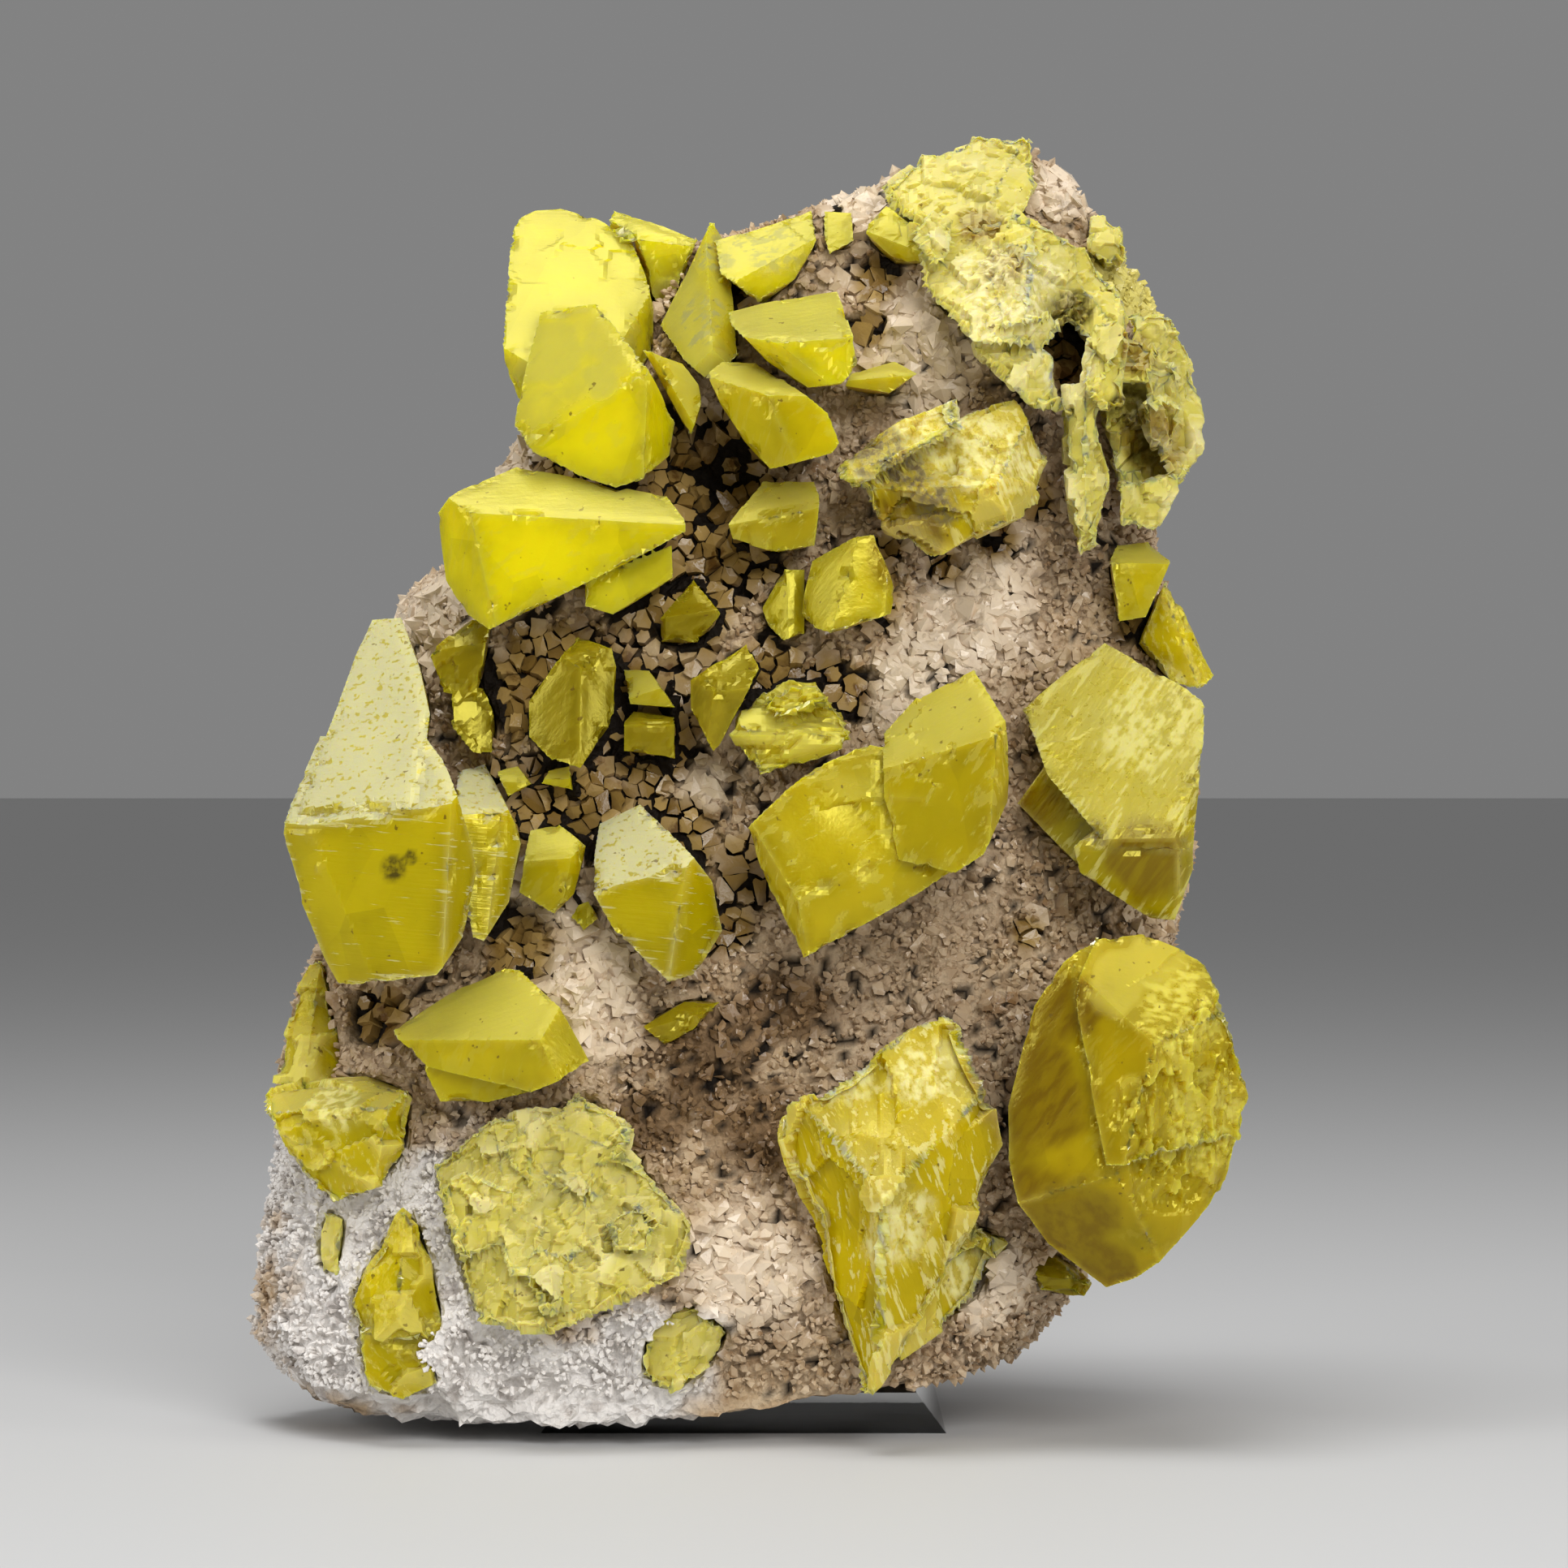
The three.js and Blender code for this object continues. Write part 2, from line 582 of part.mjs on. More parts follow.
      rim: [[-44.6, 45.2], [-36.6, 45], [-31.2, 41.9], [-36.6, 40.7], [-42.4, 40.8]],
      faces: [facing([-38, -16, 42.5], -5, -12)],
    },
  ],
  sulfur_left_block: [
    {
      rim: [[-58.8, 58], [-57, 58.6], [-55.4, 50], [-53.2, 43.2], [-62.8, 43.3], [-60.6, 52.5]],
      faces: [...ridge([-59, -1, 44], [-57.5, 3, 56], 30, -20)],
      root: 16,
    },
    {
      rim: [[-64.4, 41.4], [-63.4, 42.7], [-51.3, 44], [-45.9, 42.4], [-46.2, 35], [-48.7, 31.2],
        [-55.8, 28], [-59.9, 31.5]],
      faces: [...ridge([-63.5, -8, 39.8], [-46.5, -15, 40.6], 55, 5), facing([-58.5, -10.5, 34], -32, -15),
        facing([-48.5, -13.6, 36], 42, -5)],
      root: 16,
    },
  ],
  sulfur_pale_slab: [
    {
      rim: [[-56.9, 27.3], [-54.2, 26.5], [-54.9, 19.4], [-57.2, 20]],
      faces: [facing([-55.6, -9, 23.5], -15, 8)],
      root: 10,
    },
  ],
  sulfur_corner_crystal: [
    {
      rim: [[-50, 22.9], [-47.1, 27.7], [-44.9, 25.7], [-42.7, 16.2], [-41.6, 12.6], [-46.5, 11.1],
        [-52.8, 12.2], [-54, 16.2]],
      faces: [...ridge([-48, -19, 13], [-46.8, -17, 25], 32, -25), facing([-47.8, -19, 15], 0, -15)],
    },
    {
      rim: [[-52.8, 13.4], [-41.6, 13.8], [-42.6, 6.5], [-46.9, 3.9], [-51.6, 5.5]],
      faces: [facing([-47, -16.5, 9], 4, -6)],
    },
  ],
  sulfur_granular_mass: [
    {
      rim: [[-43.5, 33], [-36.4, 38.7], [-31.4, 39.9], [-27.1, 40.3], [-19.6, 35.6], [-14, 29.2],
        [-10.9, 25.3], [-11.7, 20.1], [-18.8, 16.2], [-29.1, 11.8], [-38, 13.4], [-41, 22]],
      faces: [facing([-26, -20, 27], 3, 16), facing([-37, -19, 27], -30, 10)],
    },
    ...grains({
      middle: [-27, -20, 27.5],
      spread: [11.5, 10],
      size: 4.8,
      count: 10,
      seed: 11,
      turn: 3,
      lean: 16,
      proud: 2.5,
    }),
  ],
  sulfur_bottom_grain: [
    {
      rim: [[-17, 14.2], [-11.6, 16.2], [-6.6, 12.5], [-8.6, 8.5], [-13.6, 4.6], [-17.6, 7]],
      faces: [facing([-13, -18, 11], -22, 15), facing([-10.5, -18, 11], 25, -5)],
    },
  ],
  sulfur_pyramid: [
    {
      rim: [[-1.2, 38.6], [5.3, 43.5], [14.4, 49.5], [19.7, 51.9], [21.5, 50.9], [25.7, 41.4], [27.1, 35.5],
        [23.2, 28.4], [21.5, 21.4], [13.7, 8.4], [9.9, 4.2], [6.7, 10.9], [6, 19.7], [1.8, 33.7]],
      faces: [facing([13, -28, 33], -6, 28), facing([9, -27, 28], -42, -8), facing([16, -27, 27], 35, -12)],
    },
    {
      rim: [[23.9, 26], [28, 23.5], [24.3, 16.2], [14.4, 9.2], [17, 20]],
      faces: [facing([22, -14, 19], 28, -5)],
    },
  ],
  sulfur_giant: [
    {
      rim: [[38.5, 61], [44.2, 61.6], [51.1, 58.5], [53.4, 56.7], [55.4, 50.4], [57.7, 42.7], [56, 36.4],
        [54, 29.8], [48.5, 23.4], [43.4, 19], [39.7, 17.9], [32.5, 23.4], [28.7, 28.3], [27.6, 33.5],
        [27.6, 40.4], [29.9, 46.4], [30.7, 52.7], [34.5, 58.2]],
      faces: [facing([38, -25, 42], -22, 4), facing([46, -25, 36], 30, -12), facing([44, -26, 50], 12, 32),
        facing([40, -23, 26], -10, -32)],
      root: 20,
    },
    {
      rim: [[38.5, 61], [44.2, 61.6], [51.1, 58.5], [53.4, 56.7], [55.4, 50.4], [57.7, 42.7], [56, 36.4],
        [45.4, 34.9], [39.6, 32.9], [37.2, 46.5], [35.6, 54.2]],
      faces: [
        facing([40, -27.5, 42], -20, 4),
        facing([46, -27.2, 38], 30, -8),
        facing([44, -28, 50], 12, 34),
      ],
    },
  ],
  sulfur_dark_foot: [
    {
      rim: [[30.6, 21.4], [32.5, 22.6], [38.2, 18.6], [37, 16.8], [31.6, 17.4]],
      faces: ridge([30.5, -8, 19.5], [38.5, -7, 18.6], 25, -25),
      root: 10,
    },
  ],
  sulfur_striated: [
    {
      rim: [[29.3, 89.4], [35.7, 94.5], [39.5, 97.5], [45.3, 93.8], [51, 91], [52, 89.7], [51.2, 79.2],
        [50.3, 72], [40.2, 72], [35.7, 77.2], [32.5, 81]],
      faces: [...ridge([36, -14, 73.2], [50, -14, 73.4], 27, -16), facing([49.5, -11.5, 82], 45, 5)],
      root: 10,
    },
    {
      rim: [[38.5, 75], [50.6, 75], [50.4, 69.6], [48.2, 63.2], [45.3, 63.2], [36.4, 69], [35.6, 72.2]],
      faces: [...ridge([36, -13.6, 73], [50, -13.6, 73.2], 27, -16), facing([48.8, -12.6, 70], 42, -10)],
      root: 16,
    },
    {
      rim: [[28.7, 77.6], [32.2, 82.4], [40.5, 73.8], [36.4, 69.8]],
      faces: [facing([35, -8, 77], -22, -12)],
    },
  ],
  sulfur_edge_shard: [
    {
      rim: [[47.1, 105.4], [49.3, 101.3], [53.3, 93.3], [51.2, 91.4], [48, 92.3], [43.6, 97.4], [45.2, 99.7]],
      faces: ridge([46.8, 2, 104], [51, 1, 92.5], 38, -22),
      root: 14,
    },
  ],
  sulfur_centre_olive: [
    {
      rim: [[-17.4, 50.2], [-12.3, 53.2], [-7.8, 53.2], [-11.3, 49.6], [-14.8, 47.7]],
      faces: ridge([-17, -11, 49.8], [-8.5, -10, 52.3], 40, -8),
    },
  ],
};

// Colours of the sulfur: most crystals are the same clear yellow.
const YELLOW = '#d6c21a';
const SULFUR_COLOURS = {
  sulfur_top_mass: '#d3cf62',
  sulfur_granular_mass: '#d2cd74',
  sulfur_broken_crystal: '#cfc85c',
  sulfur_olive_crystal: '#a39a1c',
  sulfur_olive_blade: '#a39a1c',
  sulfur_dim_diamond: '#8a7c14',
  sulfur_dim_cube: '#8f8426',
  sulfur_amber_cluster: '#b8a01e',
  sulfur_centre_olive: '#8f8520',
  sulfur_pale_slab: '#d8d28a',
  sulfur_dark_foot: '#8a7c14',
  sulfur_striated: '#cabf52',
};

// The rock

// Left and right edge of the rock as the eye sees it, from the bottom up: height, left, right.
const ROCK_OUTLINE = [
  [1, -46, 0],
  [2.5, -53, 8],
  [5, -58.5, 18],
  [8, -61, 23.5],
  [14.5, -65.3, 31],
  [19, -64.5, 35.5],
  [23.5, -64.1, 39],
  [36.5, -62.6, 43],
  [51.5, -60.6, 46],
  [62.5, -57.5, 48.4],
  [72, -54, 50.3],
  [86, -50, 49.4],
  [96.5, -47.5, 47.9],
  [103.5, -46.3, 46.4],
  [106, -42, 45.8],
  [112, -36, 45],
  [119, -35.5, 45.5],
  [122, -32, 46],
  [131.5, -28, 47.5],
  [137, -23, 46.5],
  [143.5, -15, 42],
  [146.5, -8, 39.5],
  [149, 0, 38.4],
  [151, 9, 37],
  [154, 17, 35.2],
  [156.5, 21, 33.4],
  [158, 24, 31],
];

// Depth of the rock's front, of its widest line and of its back, from the bottom up.
const ROCK_DEPTH = [
  [0, -6, 20, 40],
  [6, -14, 21, 47],
  [20, -16, 22, 53],
  [40, -11, 22, 55],
  [60, -5, 23, 55],
  [80, -4, 24, 54],
  [100, 0, 26, 53],
  [120, 3, 28, 51],
  [140, 6, 29, 48],
  [152, 12, 29, 44],
  [160, 22, 30, 39],
];

// Lumps and hollows of the front: x, z, reach and height.
const FRONT_RELIEF = [
  [-24, 54, 10, 5],
  [-28, 60, 6, 3],
  [-34, 22, 14, 3],
  [-50, 10, 12, 4],
  [-20, 6, 12, 3],
  [10, 55, 14, -4],
  [5, 45, 8, -2],
  [-9, 118, 7, -7],
  [3, 122, 5, -4],
  [-10, 108, 6, -4],
  [20, 108, 7, -3],
  [22, 96, 9, 3],
  [-13, 93, 5, -4],
  [-17, 80, 5, -3],
  [26, 78, 6, -4],
  [17, 136, 7, 3],
  [8, 152, 6, 2],
  [34, 153, 6, 3],
  [-38, 33, 8, 2],
  [2, 22, 10, 2],
  [28, 12, 9, 2],
];

// Ledges and hollows of the broken back: x, z, reach and height.
const BACK_RELIEF = [
  [-30, 30, 20, 5],
  [15, 45, 16, -5],
  [-15, 80, 18, 4],
  [25, 100, 14, 4],
  [-5, 120, 12, -4],
  [20, 140, 10, 3],
  [-40, 70, 12, -4],
];

// Flat breaks that trim the hidden sides: a point on each and the way it looks.
const BREAKS = [
  { at: [-28, 46, 60], looks: [-0.5, 0.86, 0.08] },
  { at: [14, 50, 40], looks: [0.22, 0.94, -0.2] },
  { at: [10, 47, 112], looks: [0.12, 0.86, 0.45] },
  { at: [44, 38, 80], looks: [0.78, 0.62, 0.05] },
  { at: [-5, 40, 10], looks: [-0.1, 0.74, -0.66] },
  { at: [-52, 34, 40], looks: [-0.86, 0.5, 0.1] },
  { at: [-24, 36, 128], looks: [-0.62, 0.66, 0.42] },
];

const RINGS = 27;
const FRONT_STEPS = 27;
const BACK_STEPS = 10;
const RING_CROWDING = 0.05;
const ROUNDNESS = 3;
const RELIEF_FALL = 1.6;

// Natural roughness: height and span of the lumps, of the teeth on them and of the ledges. Each is read
// from its own part of the noise.
const LUMP_HEIGHT = 3.36;
const LUMP_SPAN = 9;
const TOOTH_HEIGHT = 1.44;
const TOOTH_SPAN = 3.7;
const TOOTH_NOISE_X = 40;
const LEDGE_HEIGHT = 2.4;
const LEDGE_SPAN = 5;
const LEDGE_NOISE_Y = 70;
const SIDEWAYS_SHARE = 0.5;

// A value between the rows of a table whose first column is the height.
function between(table, height, column) {
  const above = table.findIndex((row) => row[0] >= height);
  if (above === -1) return table[table.length - 1][column];
  if (above === 0) return table[0][column];
  const [low, high] = [table[above - 1], table[above]];
  const part = (height - low[0]) / (high[0] - low[0]);
  return low[column] + (high[column] - low[column]) * part;
}

function relief(table, x, z) {
  return table.reduce((sum, [cx, cz, reach, height]) => {
    const away = ((x - cx) ** 2 + (z - cz) ** 2) / (reach * reach);
    return sum + height * Math.exp(-away * RELIEF_FALL);
  }, 0);
}

function lumps(x, y, z) {
  const coarse = noise.noise(x / LUMP_SPAN, y / LUMP_SPAN, z / LUMP_SPAN);
  const fine = noise.noise(x / TOOTH_SPAN + TOOTH_NOISE_X, y / TOOTH_SPAN, z / TOOTH_SPAN);
  return LUMP_HEIGHT * coarse + TOOTH_HEIGHT * fine;
}

// One point of the rock's skin: round the ring by angle, at a height on the upright plane. The relief is
// fullest at the very front and back.
function skin(angle, height) {
  const left = between(ROCK_OUTLINE, height, 1);
  const right = between(ROCK_OUTLINE, height, 2);
  const front = between(ROCK_DEPTH, height, 1);
  const widest = between(ROCK_DEPTH, height, 2);
  const back = between(ROCK_DEPTH, height, 3);
  const across = Math.cos(angle);
  const deep = Math.sin(angle);
  const x = Math.sign(across) * Math.abs(across) ** (2 / ROUNDNESS);
  const y = Math.sign(deep) * Math.abs(deep) ** (2 / ROUNDNESS);
  const px = (left + right) / 2 + (x * (right - left)) / 2;
  const py = y < 0 ? widest + y * (widest - front) : widest + y * (back - widest);
  const real = seen(px, widest, height);
  real.y = py;
  BREAKS.forEach(({ at, looks }) => {
    const way = new THREE.Vector3(...looks).normalize();
    const over = real.clone().sub(new THREE.Vector3(...at)).dot(way);
    real.addScaledVector(way, -Math.max(over, 0));
  });
  const push = lumps(real.x, real.y, real.z);
  const raised = y < 0 ? relief(FRONT_RELIEF, px, height) : relief(BACK_RELIEF, px, height);
  real.y += y * raised + deep * push;
  real.x += across * push * SIDEWAYS_SHARE;
  real.z += LEDGE_HEIGHT * noise.noise(
    real.x / LEDGE_SPAN,
    real.y / LEDGE_SPAN + LEDGE_NOISE_Y,
    real.z / LEDGE_SPAN,
  );
  return real;
}

// Angles round a ring: closer together along the front.
function ringAngles() {
  const front = Array.from({ length: FRONT_STEPS }, (_, i) => Math.PI * (1 + i / FRONT_STEPS));
  const back = Array.from({ length: BACK_STEPS }, (_, i) => (Math.PI * i) / BACK_STEPS);
  return [...front, ...back];
}

// The rock as rings of points joined into a closed skin, with a cap at the bottom and the top.
function rockGeometry() {
  const angles = ringAngles();
  const lowest = ROCK_OUTLINE[0][0];
  const highest = ROCK_OUTLINE[ROCK_OUTLINE.length - 1][0];
  const rings = Array.from({ length: RINGS }, (_, i) => {
    const part = i / (RINGS - 1);
    const eased = part - Math.sin(part * 2 * Math.PI) * RING_CROWDING;
    const height = lowest + (highest - lowest) * eased;
    return angles.map((angle) => skin(angle, height));
  });
  const around = angles.length;
  const middleOf = (ring) => {
    const sum = new THREE.Vector3();
    ring.forEach((p) => sum.addScaledVector(p, 1 / around));
    return sum;
  };
  const positions = rings.flat();
  positions.push(middleOf(rings[0]), middleOf(rings[RINGS - 1]));
  const bottom = RINGS * around;
  const top = bottom + 1;
  const index = [];
  for (let i = 0; i < around; i += 1) {
    const j = (i + 1) % around;
    for (let r = 0; r < RINGS - 1; r += 1) {
      const [a, b] = [r * around + i, r * around + j];
      const [c, d] = [a + around, b + around];
      if ((r + i) % 2) {
        index.push(a, b, d, a, d, c);
      } else {
        index.push(a, b, c, b, d, c);
      }
    }
    index.push(bottom, j, i);
    index.push(top, (RINGS - 1) * around + i, (RINGS - 1) * around + j);
  }
  return new THREE.BufferGeometry().setFromPoints(positions).setIndex(index);
}

// The clear block: a plate whose two ends are bevelled, extruded from front to back.
function blockGeometry(grow) {
  const half = BLOCK_WIDTH / 2;
  const outline = new THREE.Shape([
    new THREE.Vector2(-half - grow, -grow),
    new THREE.Vector2(half + grow, -grow),
    new THREE.Vector2(half - BLOCK_BEVEL + grow, BLOCK_HEIGHT + grow),
    new THREE.Vector2(-half + BLOCK_BEVEL - grow, BLOCK_HEIGHT + grow),
  ]);
  const plate = new THREE.ExtrudeGeometry(outline, { depth: BLOCK_DEPTH + 2 * grow, bevelEnabled: false });
  plate.rotateX(Math.PI / 2);
  plate.translate(BLOCK_MIDDLE_X, BLOCK_DEPTH + grow, 0);
  return plate;
}

// What is broken away under the rock: its underside is level on the left and rises to the right.
function undersideGeometry(rise) {
  const plate = new THREE.BoxGeometry(CUT_WIDTH, CUT_WIDTH, CUT_THICKNESS);
  plate.translate(0, 0, -CUT_THICKNESS / 2);
  plate.rotateY(THREE.MathUtils.degToRad(-rise));
  plate.translate(UNDERSIDE_LOW_X, 0, UNDERSIDE_HEIGHT);
  return plate;
}

function largest(made) {
  return made.decompose().reduce((a, b) => (a.volume() > b.volume() ? a : b));
}

function mesh(name, made, colour, roughness) {
  const material = new THREE.MeshStandardMaterial({ color: colour, roughness, flatShading: true });
  const built = new THREE.Mesh(geometryOf(made), material);
  built.name = name;
  return built;
}

// Assembly

const specimen = new THREE.Group();
const meshes = [];
let rock = solid(rockGeometry());
let taken = solid(blockGeometry(GAP));
rock = rock.subtract(solid(undersideGeometry(0)));
rock = rock.subtract(solid(undersideGeometry(UNDERSIDE_RISE)));
rock = rock.subtract(taken);

for (const [name, pieces] of Object.entries(SULFUR)) {
  const { body, socket } = grown(name, pieces);
  meshes.push(mesh(name, largest(body.subtract(taken)), SULFUR_COLOURS[name] ?? YELLOW, 0.3));
  rock = rock.subtract(socket);
  taken = taken.add(socket);
}

meshes.push(mesh('matrix', largest(rock), '#b9a28c', 0.8));

const block = mesh('stand', solid(blockGeometry(0)), '#e8eef0', 0.05);
block.material.transparent = true;
block.material.opacity = 0.3;
meshes.push(block);

specimen.add(...meshes);

// The origin goes under the middle of the box.
const box = new THREE.Box3().setFromObject(specimen, true);
specimen.position.set(-(box.min.x + box.max.x) / 2, -(box.min.y + box.max.y) / 2, 0);
specimen.updateMatrixWorld(true);

export default specimen;
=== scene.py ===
import itertools
import math

import bmesh
import bpy
import numpy as np
from mathutils import Euler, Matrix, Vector
from mathutils.bvhtree import BVHTree
from mathutils.kdtree import KDTree


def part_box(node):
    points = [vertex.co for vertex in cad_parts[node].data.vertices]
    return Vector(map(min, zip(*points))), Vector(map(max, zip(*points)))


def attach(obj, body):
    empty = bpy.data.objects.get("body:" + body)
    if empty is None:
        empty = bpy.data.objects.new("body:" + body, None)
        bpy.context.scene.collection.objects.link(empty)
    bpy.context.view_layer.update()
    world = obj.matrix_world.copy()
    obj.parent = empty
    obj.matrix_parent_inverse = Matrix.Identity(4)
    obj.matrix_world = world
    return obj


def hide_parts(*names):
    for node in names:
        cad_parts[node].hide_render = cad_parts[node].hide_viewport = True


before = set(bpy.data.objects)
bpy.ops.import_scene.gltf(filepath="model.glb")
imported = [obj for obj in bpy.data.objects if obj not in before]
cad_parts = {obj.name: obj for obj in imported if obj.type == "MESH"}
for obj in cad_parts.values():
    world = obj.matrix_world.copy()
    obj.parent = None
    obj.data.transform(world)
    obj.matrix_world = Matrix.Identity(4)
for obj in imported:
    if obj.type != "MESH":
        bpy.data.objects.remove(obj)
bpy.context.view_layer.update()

MM = 0.001

# The eye of the photograph, from the middle of the block's front edge.
EYE_DISTANCE = 675 * MM
EYE_HEIGHT = 80 * MM
EYE_RIGHT = 5 * MM
SENSOR = 36.0
PICTURE_WIDTH = 193.2 * MM

stand_low, stand_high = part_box("stand")
FRONT_X = (stand_low[0] + stand_high[0]) / 2 + EYE_RIGHT
FRONT_Y = stand_low[1]

SULFUR = sorted(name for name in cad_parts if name.startswith("sulfur_"))


# Seeded noise and broken cells

NOISE_GRID = np.array(Euler((0.5, 0.7, 0.3)).to_matrix())

# Large odd numbers that scatter the whole-numbered cells.
SCATTER_X = 73856093
SCATTER_Y = 19349663
SCATTER_Z = 83492791
SCATTER_SEED = 2654435
SCATTER_MIX = 1274126177
SIXTEEN_BITS = 0xFFFF


def scramble(cells, seed):
    """A number from 0 to 1 for each whole-numbered cell."""
    mixed = cells[..., 0] * SCATTER_X ^ cells[..., 1] * SCATTER_Y ^ cells[..., 2] * SCATTER_Z
    mixed = mixed ^ (seed * SCATTER_SEED)
    mixed = (mixed ^ (mixed >> 13)) * SCATTER_MIX
    return ((mixed ^ (mixed >> 16)) & SIXTEEN_BITS) / SIXTEEN_BITS


def noise(points, span, seed=0):
    """Smooth noise from -1 to 1 with lumps about `span` wide, on a grid turned away from the axes."""
    place = points @ NOISE_GRID / span
    cell = np.floor(place).astype(np.int64)
    part = place - cell
    ease = part * part * (3 - 2 * part)
    total = np.zeros(len(points))
    for corner in itertools.product((0, 1), repeat=3):
        step = np.array(corner)
        weight = np.prod(np.where(step, ease, 1 - ease), axis=1)
        total += weight * scramble(cell + step, seed)
    return total * 2 - 1


def shards(points, span, seed=0, dish=0.0):
    """Broken cells about `span` wide: the height of their flats or dishes, and how far the border is."""
    place = points / span
    cell = np.floor(place).astype(np.int64)
    nearest = np.full(len(points), np.inf)
    second = np.full(len(points), np.inf)
    height = np.zeros(len(points))
    for corner in itertools.product((-1, 0, 1), repeat=3):
        other = cell + np.array(corner)
        jitter = np.stack([scramble(other, seed + k) for k in (1, 2, 3)], axis=1)
        tilt = np.stack([scramble(other, seed + k) for k in (4, 5, 6)], axis=1) * 2 - 1
        away = place - (other + jitter)
        distance = np.linalg.norm(away, axis=1)
        flat = np.sum(away * tilt, axis=1) + scramble(other, seed + 7) - 0.5
        flat += dish * (distance ** 2 - 0.25)
        closer = distance < nearest
        second = np.where(closer, nearest, np.minimum(second, distance))
        height = np.where(closer, flat, height)
        nearest = np.where(closer, distance, nearest)
    return height, second - nearest


def smooth(value, low, high):
    """0 below low, 1 above high, and smooth between them."""
    part = np.clip((value - low) / (high - low), 0, 1)
    return part * part * (3 - 2 * part)


# Meshes

def row_mesh(name):
    """A bmesh of a CAD node in the row frame."""
    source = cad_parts[name]
    made = bmesh.new()
    made.from_mesh(source.data)
    made.transform(source.matrix_world)
    bmesh.ops.remove_doubles(made, verts=made.verts, dist=1e-6)
    return made


def piece(name, vertices, faces, material, replaced=()):
    """A visible piece of the object that rides on its one body."""
    data = bpy.data.meshes.new(name)
    data.from_pydata(vertices, [], faces)
    data.update()
    made = bpy.data.objects.new(name, data)
    bpy.context.scene.collection.objects.link(made)
    data.materials.append(material)
    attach(made, "root")
    if replaced:
        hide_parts(*replaced)
    return made


def remeshed(name, mode, **settings):
    """Vertices and faces of a CAD node's form, cut into even small faces."""
    bare = row_mesh(name)
    data = bpy.data.meshes.new("cut")
    bare.to_mesh(data)
    bare.free()
    holder = bpy.data.objects.new("cut", data)
    bpy.context.scene.collection.objects.link(holder)
    cut = holder.modifiers.new("cut", "REMESH")
    cut.mode = mode
    for key, value in settings.items():
        setattr(cut, key, value)
    shown = holder.evaluated_get(bpy.context.evaluated_depsgraph_get()).to_mesh()
    vertices = np.zeros(len(shown.vertices) * 3)
    shown.vertices.foreach_get("co", vertices)
    faces = [tuple(face.vertices) for face in shown.polygons]
    bpy.data.objects.remove(holder)
    bpy.data.meshes.remove(data)
    return vertices.reshape(-1, 3), faces


def normals_of(vertices, faces):
    """The normal at each vertex of a mesh."""
    triangles = np.array([(f[0], f[i], f[i + 1]) for f in faces for i in range(1, len(f) - 1)])
    a, b, c = (vertices[triangles[:, k]] for k in range(3))
    across = np.cross(b - a, c - a)
    total = np.zeros_like(vertices)
    for k in range(3):
        np.add.at(total, triangles[:, k], across)
    return total / np.maximum(np.linalg.norm(total, axis=1), 1e-12)[:, None]


def give(made, name, values):
    """Stores a number at each vertex for the materials."""
    layer = made.data.attributes.new(name, "FLOAT", "POINT")
    layer.data.foreach_set("value", np.asarray(values, dtype=np.float32))


def tree_of(meshes):
    """One search tree over several bmeshes."""
    vertices, faces = [], []
    for made in meshes:
        start = len(vertices)
        vertices += [v.co.copy() for v in made.verts]
        faces += [[start + v.index for v in face.verts] for face in made.faces]
    return BVHTree.FromPolygons(vertices, faces)


def distances(tree, points):
    """How far each point is from a search tree's surface."""
    return np.array([tree.find_nearest(p)[3] for p in points])


# Patches of the rock's front, as x, z in mm on the upright plane through the block's front edge, with their
# reach: rusty hollows, coarse white druse, fine chalk, brown druse darkened by painted shade in the hollow,
# sulfur grains and glassy tan druse.

PATCHES = {
    "rust": [(-17.6, 117, 12), (-8, 112, 9), (-3, 124, 6), (-30, 92, 9), (-17, 88, 11), (-13, 103, 9),
             (-27, 77, 10), (-14, 73, 7), (-2, 94, 6), (10, 104, 5), (-33, 60, 6), (-5, 141, 4),
             (-4, 70, 5), (-8, 62, 4), (44, 100, 4), (31, 116, 3), (-50, 51, 4), (6, 92, 5),
             (34.6, 132.5, 4), (11, 142, 3.5), (10, 136, 3), (12, 109, 2.5), (20, 107, 2.5),
             (26, 110, 2.5), (30, 62, 2.5)],
    "white": [(34, 153, 5), (10.4, 153, 6), (17.4, 134, 9), (-34.4, 120.7, 5), (-42.3, 100.4, 7),
              (-24.8, 53.7, 10), (-30, 66, 6), (16, 92, 7), (24, 102, 9), (-10, 80, 4), (-6, 22, 9),
              (25, 19, 6)],
    "chalk": [(-50, 22, 16), (-38, 6, 16), (-20, 6, 12), (-60, 34, 9), (-56, 12, 10)],
    "hollow_shade": [(-9, 47, 9), (-3, 38, 8), (-16, 38, 5), (7, 30, 4), (0, 52, 6)],
    "lemon": [(43, 141.5, 4.5), (46, 137, 3), (39.5, 144.5, 3)],
    "glassy": [(27, 98, 12), (6, 55, 14), (14, 60, 12), (0, 25, 12), (22, 68, 10), (-52, 46, 6)],
}
